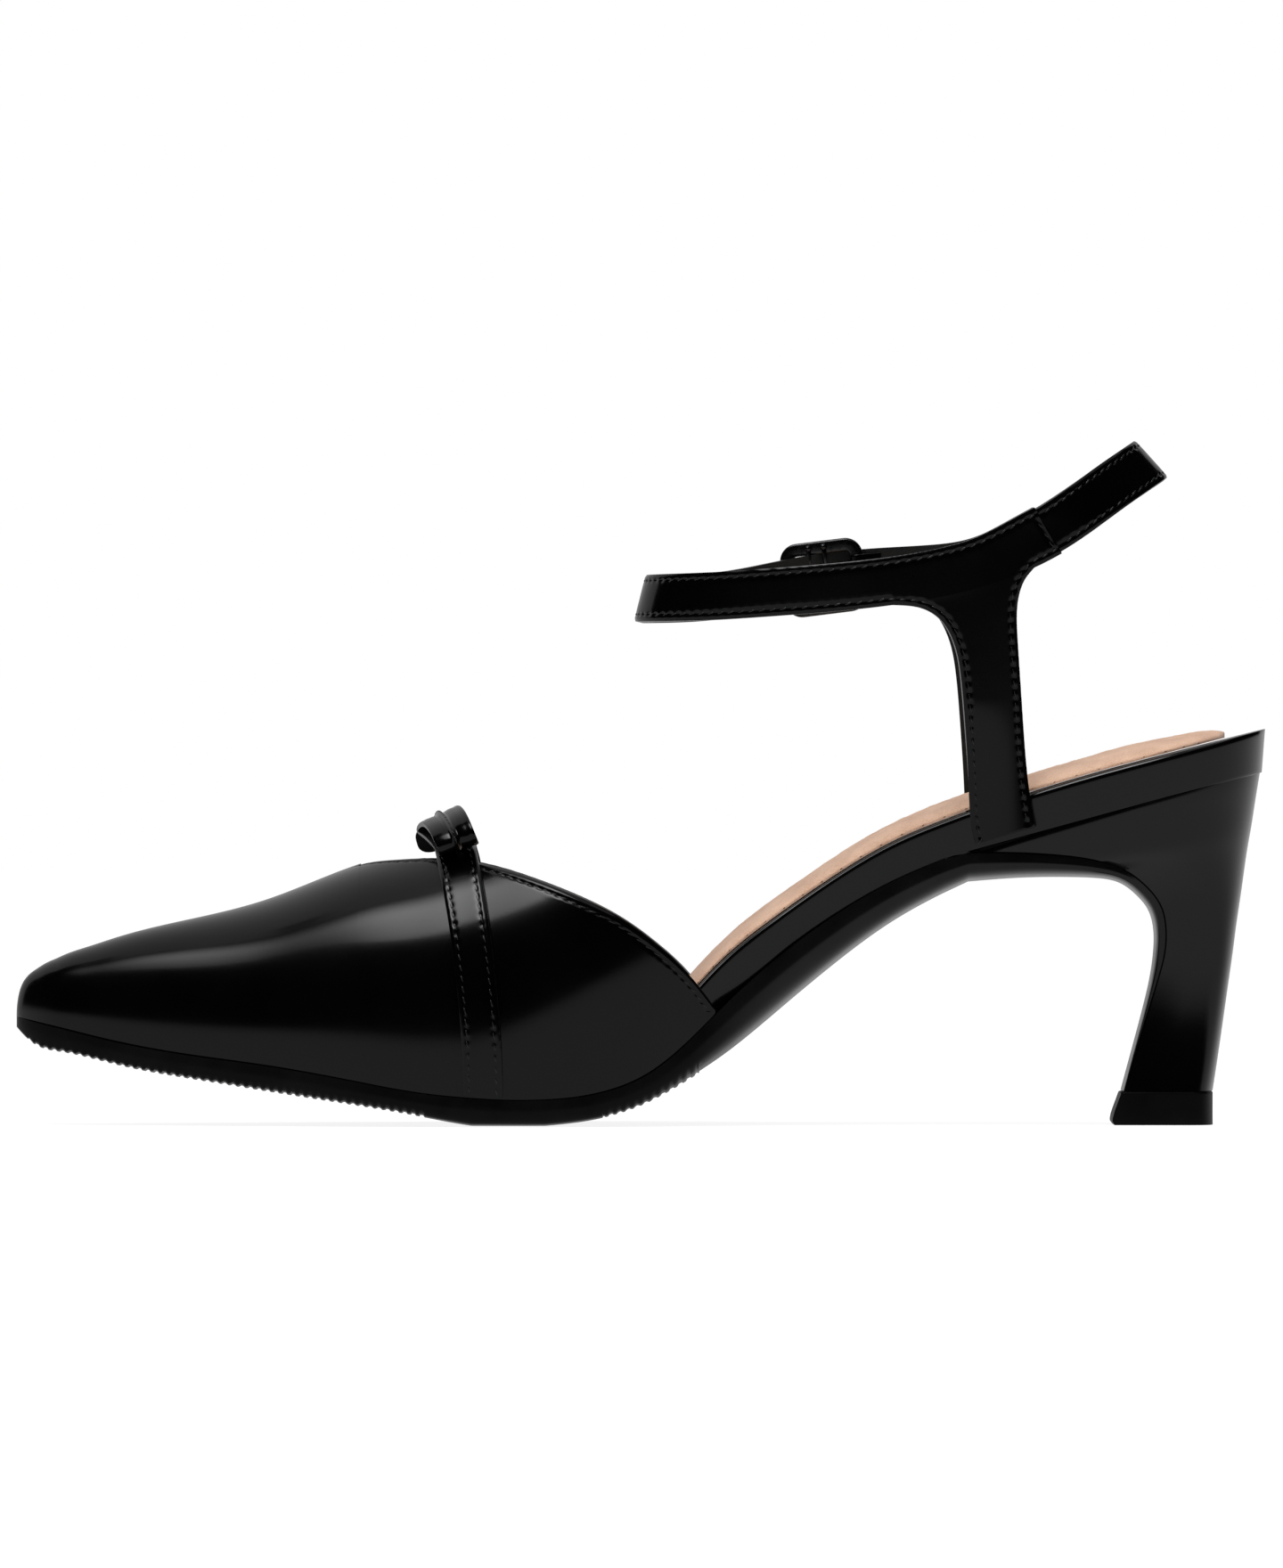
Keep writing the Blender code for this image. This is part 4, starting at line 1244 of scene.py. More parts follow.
@dataclass(frozen=True)
class Hem:
    """Cut edge of a leather piece: rolled down, with a row of stitches beside it."""

    inset: float = 1.3
    pitch: float = 2.2
    roll_width: float = 0.85
    roll_depth: float = 0.34
    channel_width: float = 0.36
    channel_depth: float = 0.28
    channel_rest: float = 0.2
    rounding: float = 0.13

    def height(self, from_edge: float, from_seam: float, arc: float) -> float:
        """Height of the leather beside its edge and seam, pulled in most where the thread goes through.

        Args:
            from_edge: distance from the nearest edge.
            from_seam: distance from the nearest row of stitches.
            arc: length along that row.

        Returns:
            The height over the plain leather, below zero where it is pressed in.
        """
        roll = self.roll_depth * max(1 - from_edge / self.roll_width, 0.0) ** 2
        pull = mix(self.channel_rest, 1.0, (0.5 + 0.5 * math.cos(2 * math.pi * arc / self.pitch)) ** 2)
        channel = self.channel_depth * math.exp(-((from_seam / self.channel_width) ** 2)) * pull
        return -roll - channel

    @staticmethod
    def search(lines: Iterable[Seam]) -> tuple[KDTree, list[float]]:
        """Search tree over the points of some lines, and the length along its line to each point.

        Args:
            lines: lines to be searched.

        Returns:
            The tree, and the length at each of its points.
        """
        places = []
        arcs = []
        for line in (line.even(SEARCH_STEP) for line in lines):
            places.extend(to_frame(point) for point in line.points)
            arcs.extend(line.arcs())
        tree = KDTree(len(places))
        for number, place in enumerate(places):
            tree.insert(place, number)
        tree.balance()
        return tree, arcs

    def press(self, made: bpy.types.Object, edges: Iterable[Seam], seams: Iterable[Seam]) -> None:
        """Shapes the face of a leather piece, its first material, beside its edges and rows of stitches.

        Args:
            made: piece that is pressed.
            edges: lines of its cut edges.
            seams: rows of stitches.
        """
        edge_tree, _ = self.search(edges)
        seam_tree, arcs = self.search(seams)
        mesh = bmesh.new()
        mesh.from_mesh(made.data)
        face = [item for item in mesh.faces if item.material_index == 0]
        outs: dict[bmesh.types.BMVert, Vector] = {}
        for item in face:
            for vert in item.verts:
                outs[vert] = outs.get(vert, Vector()) + item.normal
        for vert, out in outs.items():
            from_edge = edge_tree.find(vert.co)[2]
            _, number, from_seam = seam_tree.find(vert.co)
            vert.co += out.normalized() * self.height(from_edge / MM, from_seam / MM, arcs[number]) * MM
        mesh.to_mesh(made.data)
        mesh.free()


def thicken(
    made: bpy.types.Object,
    wall: float,
    rounding: float,
    hem: Hem | None = None,
    edges: Iterable[Seam] = (),
    seams: Iterable[Seam] = (),
) -> None:
    """Gives a sheet its wall, presses its hem and rounds its cut edges.

    Args:
        made: sheet with face, lining and edge materials.
        wall: thickness in millimetres, on the inner side of its faces.
        rounding: width of the rounding in millimetres.
        hem: hem along its edges, if it has one.
        edges: lines of those edges.
        seams: rows of stitches.
    """
    solid = made.modifiers.new("wall", "SOLIDIFY")
    solid.thickness = wall * MM
    solid.offset = -1.0
    solid.use_even_offset = False
    solid.use_quality_normals = True
    solid.material_offset = 1
    solid.material_offset_rim = 2
    if hem is not None:
        sheet = made.data
        made.data = bpy.data.meshes.new_from_object(made.evaluated_get(bpy.context.evaluated_depsgraph_get()))
        made.data.name = made.name
        made.modifiers.clear()
        bpy.data.meshes.remove(sheet)
        hem.press(made, edges, seams)
    bevel = made.modifiers.new("rounding", "BEVEL")
    bevel.width = rounding * MM
    bevel.segments = 2
    bevel.limit_method = "ANGLE"
    bevel.angle_limit = math.radians(BEVEL_ANGLE)
    bevel.use_clamp_overlap = True


@dataclass(frozen=True)
class Needle:
    """Stitches of one size."""

    pitch: float = 2.2
    length: float = 1.55
    width: float = 0.36
    height: float = 0.30
    sink: float = 0.06
    slant: float = 13.0
    fineness: int = 8
    facets: tuple[int, int] = (8, 6)

    def sew(self, mesh: bmesh.types.BMesh, seam: Seam, leather: bpy.types.Object | None) -> None:
        """Adds a row of stitches along a seam, laid on a leather piece where there is one.

        Args:
            mesh: mesh that takes the stitches.
            seam: line that they follow.
            leather: piece on whose face they lie, if any.
        """
        line = seam.even(self.pitch / self.fineness)
        arcs = line.arcs()
        line = line if leather is None else line.settle(leather)
        turn = Matrix.Rotation(math.radians(self.slant), 3, "Z")
        size = Matrix.Diagonal((self.length / 2 * MM, self.width / 2 * MM, self.height / 2 * MM)).to_4x4()
        for number in range(int(arcs[-1] / self.pitch)):
            place = min(bisect_right(arcs, (number + 0.5) * self.pitch), len(arcs) - 2)
            ahead = (line.points[place + 1] - line.points[place - 1]).normalized()
            out = line.outs[place]
            beside = out.cross(ahead).normalized()
            out = ahead.cross(beside)
            axes = (Matrix((ahead, beside, out)).transposed() @ turn).to_4x4()
            where = Matrix.Translation(to_frame(line.points[place] - out * self.sink))
            round_it, down = self.facets
            bmesh.ops.create_uvsphere(
                mesh, u_segments=round_it, v_segments=down, radius=1.0, matrix=where @ axes @ size
            )


def sewn_piece(
    name: str,
    seams: Iterable[Seam],
    needle: Needle,
    thread: bpy.types.Material,
    leather: bpy.types.Object | None = None,
) -> None:
    """Makes one joined piece of stitches.

    Args:
        name: name of the piece.
        seams: lines that the stitches follow.
        needle: size of the stitches.
        thread: material of the thread.
        leather: piece on whose face they lie, if they follow its pressed form.
    """
    mesh = bmesh.new()
    for seam in seams:
        needle.sew(mesh, seam, leather)
    add_piece(name, mesh, [thread], sharp=SHARP_SHEET)


@dataclass
class Sheet:
    """Leather sheet with its wall, its hem and its rows of stitches."""

    name: str
    node: str
    stitches: str
    materials: Sequence[bpy.types.Material]
    wall: float
    hem: Hem
    edges: Sequence[Seam]
    seams: Sequence[Seam]

    def build(self, mesh: bmesh.types.BMesh, thread: bpy.types.Material) -> None:
        """Makes the sheet from a mesh of its face, then sews it.

        Args:
            mesh: mesh of its face, which is used up.
            thread: material of the thread.
        """
        made = add_piece(self.name, mesh, self.materials, [self.node], SHARP_SHEET)
        thicken(made, self.wall, self.hem.rounding, self.hem, self.edges, self.seams)
        sewn_piece(self.stitches, self.seams, Needle(), thread, made)


@dataclass
class HeelForm:
    """Covered heel and its rubber tip."""

    last: Last
    rim_inset: float = 1.6
    broadest: float = 0.42
    breast_share: float = 0.97
    steps: int = 96
    sides: int = 40
    tip_tuck: tuple[float, float, float] = (0.6, 0.4, 0.2)
    tip_tuck_share: float = 0.95
    curves: dict[str, Curve] = field(
        default_factory=lambda: {name: HEEL.curve(name, None) for name in HEEL.columns}
    )

    def row(self, step: float) -> dict[str, float]:
        """Sizes of one ring, between the table's rows."""
        return {name: curve.at(step) for name, curve in self.curves.items()}

    def half(self, row: dict[str, float], share: float, side: Side) -> float:
        """Half width of a ring at a share of its depth, from breast to back.

        Args:
            row: sizes of the ring.
            share: share of its depth.
            side: side of the foot.

        Returns:
            The half width in millimetres.
        """
        seat = min(max(row["plan_share"], 0.0), 1.0)
        plan = self.last.taper(mix(row["front"], self.last.length, share), side, self.rim_inset)
        breast = mix(self.breast_share, 1.0, math.sin(min(share / self.broadest, 1.0) * math.pi / 2))
        depth = row["back"] - row["front"]
        back = round_start((1 - share) * depth, row["round"], self.last.heel_power)
        return mix(row["half"] * breast, plan, seat) * back

    def ring(self, row: dict[str, float], front: Vector, back: Vector, flare: float) -> list[Vector]:
        """Ring from the breast round the back, between two points of the profile.

        Args:
            row: sizes of the ring.
            front: point of the profile at the breast.
            back: point of the profile at the back.
            flare: share by which its width is changed.

        Returns:
            The points of the ring.
        """
        shares = [math.sin(turn) for turn in even(0.0, math.pi / 2, self.sides)]
        ring = []
        for side, share in both_sides(shares):
            across = side * flare * self.half(row, share, side)
            ring.append(front.lerp(back, share) + Vector((0, across, 0)))
        return ring

    def build(self, finishes: Finishes) -> None:
        """Builds the covered block and the tip.

        Args:
            finishes: materials of the shoe.
        """
        last_step = HEEL.count - 1
        rings = []
        for step in even(0, last_step, self.steps):
            row = self.row(step)
            front = Vector((row["front"], 0, row["front_up"]))
            back = Vector((row["back"], 0, row["back_up"]))
            rings.append(self.ring(row, front, back, 1.0))
        lofted_piece("covered_heel", "heel", rings, finishes.cover)
        row = self.row(last_step)
        behind, ahead, rise = self.tip_tuck
        front = Vector((row["front"] + behind, 0, row["front_up"] + rise))
        back = Vector((row["back"] - ahead, 0, row["back_up"] + rise))
        rings = [self.ring(row, front, back, self.tip_tuck_share)]
        for up, start, flare in soften(TOP_LIFT.rows("up", "front", "flare"), 2):
            rings.append(self.ring(row, Vector((start, 0, up)), Vector((row["back"], 0, up)), flare))
        lofted_piece("heel_tip", "top_lift", rings, finishes.tip)


@dataclass
class SoleForm:
    """Tread, shank cover and the flap down the breast of the heel."""

    last: Last
    heel: HeelForm
    rib_pitch: float = 1.7
    rib_depth: float = 0.36
    ribbed: tuple[tuple[float, float], ...] = ((2.6, 81.5), (116.5, 135.5))
    tread_end: float = 135.5
    step_fade: float = 152.0
    seam: float = 0.02
    rib_slope: tuple[float, float] = (0.25, 0.75)
    groove_top: tuple[float, float] = (0.62, 0.86)
    thinnest: float = 0.5
    tongue_shares: tuple[float, float] = (0.95, 0.93)
    nose_turn: tuple[float, float, int] = (0.10, 0.9, 14)
    tread_step: tuple[float, int] = (0.3, 470)
    arch_step: tuple[float, int] = (0.15, 60)
    arch_end: float = 184.0
    flap_steps: int = 70
    base: Curve = field(default_factory=lambda: SOLE_PROFILE.curve("base"))
    shank: Curve = field(default_factory=lambda: SOLE_PROFILE.curve("shank"))

    def groove(self, along: float) -> float:
        """Depth of the tread's grooves, from 0 on a rib to 1 in a groove or past the tread.

        Args:
            along: place from the toe tip.

        Returns:
            The depth as a share.
        """
        if along > self.tread_end:
            return 1 - blend(self.tread_end, self.step_fade, along)
        for start, end in self.ribbed:
            if start < along < end:
                wave = 0.5 + 0.5 * math.cos(2 * math.pi * (along - start) / self.rib_pitch)
                return blend(*self.rib_slope, wave)
        return 0.0

    def ring(
        self,
        edge: Vector,
        base: Vector,
        halves: dict[Side, float],
        shank: float = 1.0,
        groove: float = 0.0,
        tongue: float = 0.0,
    ) -> list[Vector]:
        """Section of the sole.

        Args:
            edge: middle of the top edge.
            base: middle of the ground side.
            halves: half width on each side.
            shank: how far the tread has turned to shank.
            groove: depth of the tread's groove here.
            tongue: height of the hidden tongue that closes the seam above the sole.

        Returns:
            Points from one top edge, round the ground side, to the other and back across the top.
        """
        corners = []
        for tread_inset, tread_drop, shank_inset, shank_drop in EDGE_PROFILE.rows(*EDGE_PROFILE.columns):
            corners.append((1 - mix(tread_inset, shank_inset, shank), mix(tread_drop, shank_drop, shank)))
        thick = max((edge - base).length, self.thinnest)
        ring = []
        for side, (share, drop) in both_sides(soften(corners, 2)):
            cut = groove * self.rib_depth / thick * blend(*self.groove_top, drop)
            ring.append(edge.lerp(base, drop - cut) + Vector((0, side * halves[side] * share, 0)))
        hidden = edge + (edge - base).normalized() * tongue
        low, high = self.tongue_shares
        for share, top in ((low, edge), (high, hidden), (0.0, hidden), (-high, hidden), (-low, edge)):
            side = Side.LATERAL if share > 0 else Side.MEDIAL
            ring.append(top + Vector((0, share * halves[side], 0)))
        return ring

    def build(self, finishes: Finishes) -> None:
        """Builds tread, shank cover and flap in one piece.

        Args:
            finishes: materials of the shoe.
        """
        nose = [self.last.nose_length * (1 - math.cos(turn)) for turn in even(*self.nose_turn)]
        first, count = self.tread_step
        places = nose + even(nose[-1] + first, self.tread_end, count)
        first, count = self.arch_step
        rings = []
        for along in places + even(self.tread_end + first, self.arch_end, count):
            halves = {side: self.last.half_width(along, side, 0.0) for side in Side}
            edge = Vector((along, 0, self.last.seat_up(along) - self.seam))
            base = Vector((along, 0, max(self.base.at(along), 0.0)))
            shank = min(max(self.shank.at(along), 0.0), 1.0)
            rings.append(self.ring(edge, base, halves, shank, self.groove(along)))
        for step in even(0, HEEL.count - 1, self.flap_steps):
            row = self.heel.row(step)
            front = Vector((row["front"], 0, row["front_up"]))
            flap = Vector((row["flap"], 0, row["flap_up"]))
            edge = front + (flap - front).normalized() * GAP
            halves = {side: self.heel.half(row, 0.0, side) for side in Side}
            rings.append(self.ring(edge, flap, halves, tongue=2 * GAP))
        lofted_piece("sole_unit", "outsole", rings, finishes.sole, SHARP_RIBS)


@dataclass
class Footbed:
    """Leather wrapped rim and the padded sock on it."""

    last: Last
    rim_inset: float = 1.0
    rim_tuck: float = 3.0
    rim_start: float = 114.0
    rim_clear: tuple[float, float] = (139.0, 152.0)
    back_lean: float = 0.6
    sock_start: float = 9.0
    sock_nose: float = 16.0
    sock_inset: float = 3.2
    sock_dome: float = 3.4
    sock_edge: float = 0.8
    sock_short: float = 8.0
    sock_thinning: float = 24.0
    fill: float = 0.55
    back_left: float = 0.012
    rim_stop: float = 1.5
    rim_steps: tuple[int, int] = (90, 46)
    sock_nose_turn: float = 0.12
    sock_step: float = 0.6
    sock_steps: tuple[int, int, int] = (14, 320, 34)
    soft_depth: float = 0.24
    soft_size: tuple[float, float] = (9.0, 7.0)
    fuzz_depth: float = 0.16
    fuzz_size: float = 1.7
    fuzz_layer: float = 3.0
    seam_start: float = 118.0
    seam_stop: float = 12.0
    seam_steps: int = 180
    seam_place: tuple[float, float] = (0.995, 0.13)
    seam_out: tuple[float, float] = (0.5, 0.85)
    needle: Needle = Needle(pitch=4.6, length=0.9, width=0.30, height=0.24, sink=0.02)

    def back_places(self, count: int) -> list[float]:
        """Places that close up towards the round back.

        Args:
            count: number of steps.

        Returns:
            The places from the toe tip.
        """
        start = self.last.length - self.last.heel_round
        turns = even(0.0, math.pi / 2 - self.back_left, count)
        return [start + self.last.heel_round * math.sin(turn) for turn in turns]

    def rim_half(self, along: float, side: Side) -> float:
        """Half width of the rim, tucked inside the vamp in front."""
        inset = mix(self.rim_tuck, self.rim_inset, blend(*self.rim_clear, along))
        return self.last.half_width(along, side, inset)

    def build_rim(self, finishes: Finishes) -> None:
        """Builds the wrapped rim with its rolled top edge.

        Args:
            finishes: materials of the shoe.
        """
        section = RIM_FOOT.rows("share", "rise") + soften(RIM_WALL.rows("share", "rise"), 2)
        start = self.last.length - self.last.heel_round
        front_steps, back_steps = self.rim_steps
        rings = []
        for along in even(self.rim_start, start - self.rim_stop, front_steps) + self.back_places(back_steps):
            low = self.last.seat_up(along)
            high = self.last.footbed_up(along)
            lean = self.back_lean * blend(start, self.last.length, along)
            halves = {side: self.rim_half(along, side) for side in Side}
            ring = []
            for side, (share, rise) in both_sides(section, 0):
                across = side * share * halves[side]
                ring.append(Vector((along - lean * (1 - rise), across, mix(low, high, rise))))
            rings.append(ring)
        lofted_piece("wrapped_rim", "footbed_rim", rings, finishes.cover)

    def sock_half(self, along: float, side: Side) -> float:
        """Half width of the sock.

        Args:
            along: place from the toe tip.
            side: side of the foot.

        Returns:
            The half width in millimetres.
        """
        tuck = (self.rim_tuck - self.rim_inset) * (1 - blend(*self.rim_clear, along))
        half = self.last.half_width(along, side, self.sock_inset + tuck)
        half *= round_start(along - self.sock_start, self.sock_nose)
        left = self.last.length - self.sock_short - along
        return half * round_start(left, self.last.heel_round - self.sock_short)

    def sock_point(self, along: float, side: Side, share: float, rise: float) -> Vector:
        """Point of the sock, a little uneven as soft padding is.

        Args:
            along: place from the toe tip.
            side: side of the foot.
            share: share of the half width.
            rise: share of the padding's height.

        Returns:
            The point in millimetres.
        """
        end = self.last.length - self.sock_short
        dome = mix(self.sock_edge, self.sock_dome, round_start(end - along, self.sock_thinning))
        across = side * share * self.sock_half(along, side)
        length, width = self.soft_size
        size = self.fuzz_size
        soft = self.soft_depth * noise.noise(Vector((along / length, across / width, 0.0)))
        fuzz = self.fuzz_depth * noise.noise(Vector((along / size, across / size, self.fuzz_layer)))
        uneven = (soft + fuzz) * rise
        return Vector((along, across, self.last.footbed_up(along) + GAP + rise * dome + uneven))

    def build_sock(self, finishes: Finishes) -> None:
        """Builds the padded sock and the stitches round it.

        Args:
            finishes: materials of the shoe.
        """
        section = both_sides(soften(SOCK_SECTION.rows("share", "rise"), 2))
        nose_steps, steps, back_steps = self.sock_steps
        turns = even(self.sock_nose_turn, math.pi / 2, nose_steps)
        nose = [self.sock_start + self.sock_nose * (1 - math.cos(turn)) for turn in turns]
        back = [place - self.sock_short for place in self.back_places(back_steps)]
        rings = []
        for along in nose + even(nose[-1] + self.sock_step, back[0] - self.sock_step, steps) + back:
            rings.append([self.sock_point(along, side, share, rise) for side, (share, rise) in section])
        sock = lofted_piece("padded_sock", "insole", rings, finishes.suede, SHARP_SHEET)
        aside, up = self.seam_out
        places = even(self.seam_start, self.last.length - self.seam_stop, self.seam_steps)
        seams = []
        for side in Side:
            line = [self.sock_point(along, side, *self.seam_place) for along in places]
            seams.append(Seam(line, [Vector((0, side * aside, up))] * len(line)))
        sewn_piece("sock_stitches", seams, self.needle, finishes.tan_thread)


@dataclass
class Vamp:
    """Hollow pointed vamp, open at the throat, the sides and underneath."""

    last: Last
    wing_end: float = 138.7
    wall: float = 1.6
    hem: Hem = Hem(inset=1.5, rounding=0.18)
    throat_length: float = 12.0
    throat_step: float = 0.6
    edge_start: float = 0.02
    nose_step: float = 0.7
    front_stop: float = 0.4
    nose_steps: int = 30
    front_steps: int = 74
    throat_steps: int = 34
    wing_steps: int = 110
    edge_steps: tuple[int, int] = (40, 120)
    wide_shares: tuple[float, float, int] = (0.0, 0.92, 40)
    close_shares: tuple[float, float, int] = (0.925, 1.0, 18)
    inside: tuple[float, float, float] = (70.0, 0.0, 20.0)

    def places(self) -> list[float]:
        """Places of the sections, closer at the nose and at the throat.

        Returns:
            The places from the toe tip.
        """
        turns = even(0.0, math.pi / 2, self.nose_steps)
        nose = [self.last.nose_length * (1 - math.cos(turn)) for turn in turns]
        start = self.last.throat_along
        throat = [start + self.throat_length * share**2 for share in even(0.0, 1.0, self.throat_steps)]
        front = even(nose[-1] + self.nose_step, start - self.front_stop, self.front_steps)
        return nose + front + throat + even(throat[-1] + self.throat_step, self.wing_end, self.wing_steps)

    def point(self, along: float, share: float, side: Side) -> Vector:
        """Point of the skin at a share of the way from the feather edge to the cut edge or the ridge."""
        turn = share * self.last.top_turn(along)
        return self.last.skin(along, turn if side == Side.MEDIAL else 2 - turn)

    def cut_edge(self, side: Side) -> Seam:
        """Cut edge of one wing, from the throat to its end.

        Args:
            side: side of the foot.

        Returns:
            The line of the edge.
        """
        start = self.last.throat_along
        close, wide = self.edge_steps
        shares = even(0.0, 1.0, close)
        throat = [start + self.edge_start + self.throat_length * share**2 for share in shares]
        points = []
        outs = []
        for along in throat + even(start + self.throat_length + self.throat_step, self.wing_end, wide):
            turn = self.last.top_turn(along)
            turn = turn if side == Side.MEDIAL else 2 - turn
            points.append(self.last.skin(along, turn))
            outs.append(self.last.outward(along, turn))
        return Seam(points, outs)

    def build(self, finishes: Finishes) -> None:
        """Builds the vamp and the stitches along its topline.

        Args:
            finishes: materials of the shoe.
        """
        shares = even(*self.wide_shares) + even(*self.close_shares)
        places = self.places()
        mesh = bmesh.new()
        for side in Side:
            lay_grid(mesh, shares, places, lambda share, along, side=side: self.point(along, share, side))
        weld(mesh)
        face_away(mesh, Vector(self.inside))
        edges = [self.cut_edge(side) for side in Side]
        seams = [edge.inset(self.hem.inset, int(side)) for side, edge in zip(Side, edges)]
        materials = finishes.sheet(finishes.vamp)
        vamp = Sheet("vamp", "upper", "vamp_stitches", materials, self.wall, self.hem, edges, seams)
        vamp.build(mesh, finishes.thread)


@dataclass
class InstepBand:
    """Narrow band over the vamp and across the throat."""

    last: Last
    width: float = 7.7
    wall: float = 1.2
    foot: float = 93.0
    crest: float = 86.8
    sweep: float = 1.9
    sag: float = 2.2
    end_turn: float = 0.008
    span_range: tuple[float, float] = (0.88, 1.0)
    inside_up: float = 15.0
    steps: int = 300
    edge_steps: int = 260
    near: tuple[float, ...] = (0, 0.15, 0.3, 0.5, 0.75, 0.95, 1.1, 1.2, 1.3, 1.45, 1.7, 2.1, 2.6, 3.2)
    hem: Hem = Hem(inset=1.2, channel_depth=0.18)

    def middle(self, turn: float) -> float:
        """Middle line of the band, which leans forward as it rises."""
        return mix(self.foot, self.crest, math.sin(turn * math.pi / 2) ** self.sweep)

    def point(self, across: float, turn: float) -> Vector:
        """Point of the band's face, its rear edge drawn down where it spans the throat.

        Args:
            across: distance from the middle line, towards the heel.
            turn: 0 at the medial feather edge, 1 at the ridge and 2 at the lateral edge.

        Returns:
            The point in millimetres.
        """
        span = blend(*self.span_range, math.sin(turn * math.pi / 2))
        sag = self.sag * span * max(across, 0.0) / self.width * 2
        return self.last.lifted(self.middle(turn) + across, turn, GAP + self.wall - sag)

    def edge(self, across: float) -> Seam:
        """Line along the band at a distance from its middle.

        Args:
            across: distance from the middle line, towards the heel.

        Returns:
            The line.
        """
        turns = even(self.end_turn, 2 - self.end_turn, self.edge_steps)
        points = [self.point(across, turn) for turn in turns]
        outs = [self.last.outward(self.middle(turn) + across, turn) for turn in turns]
        return Seam(points, outs)

    def build(self, finishes: Finishes) -> None:
        """Builds the band and its two rows of stitches.

        Args:
            finishes: materials of the shoe.
        """
        half = self.width / 2
        turns = even(self.end_turn, 2 - self.end_turn, self.steps)
        mesh = bmesh.new()
        lay_grid(mesh, across_strap(self.near, half), turns, self.point)
        face_away(mesh, Vector((self.foot, 0.0, self.inside_up)))
        seams = [self.edge(-half + self.hem.inset), self.edge(half - self.hem.inset)]
        edges = [self.edge(-half), self.edge(half)]
        materials = finishes.sheet(finishes.strap)
        band = Sheet(
            "instep_band", "instep_strap", "band_stitches", materials, self.wall, self.hem, edges, seams
        )
        band.build(mesh, finishes.thread)


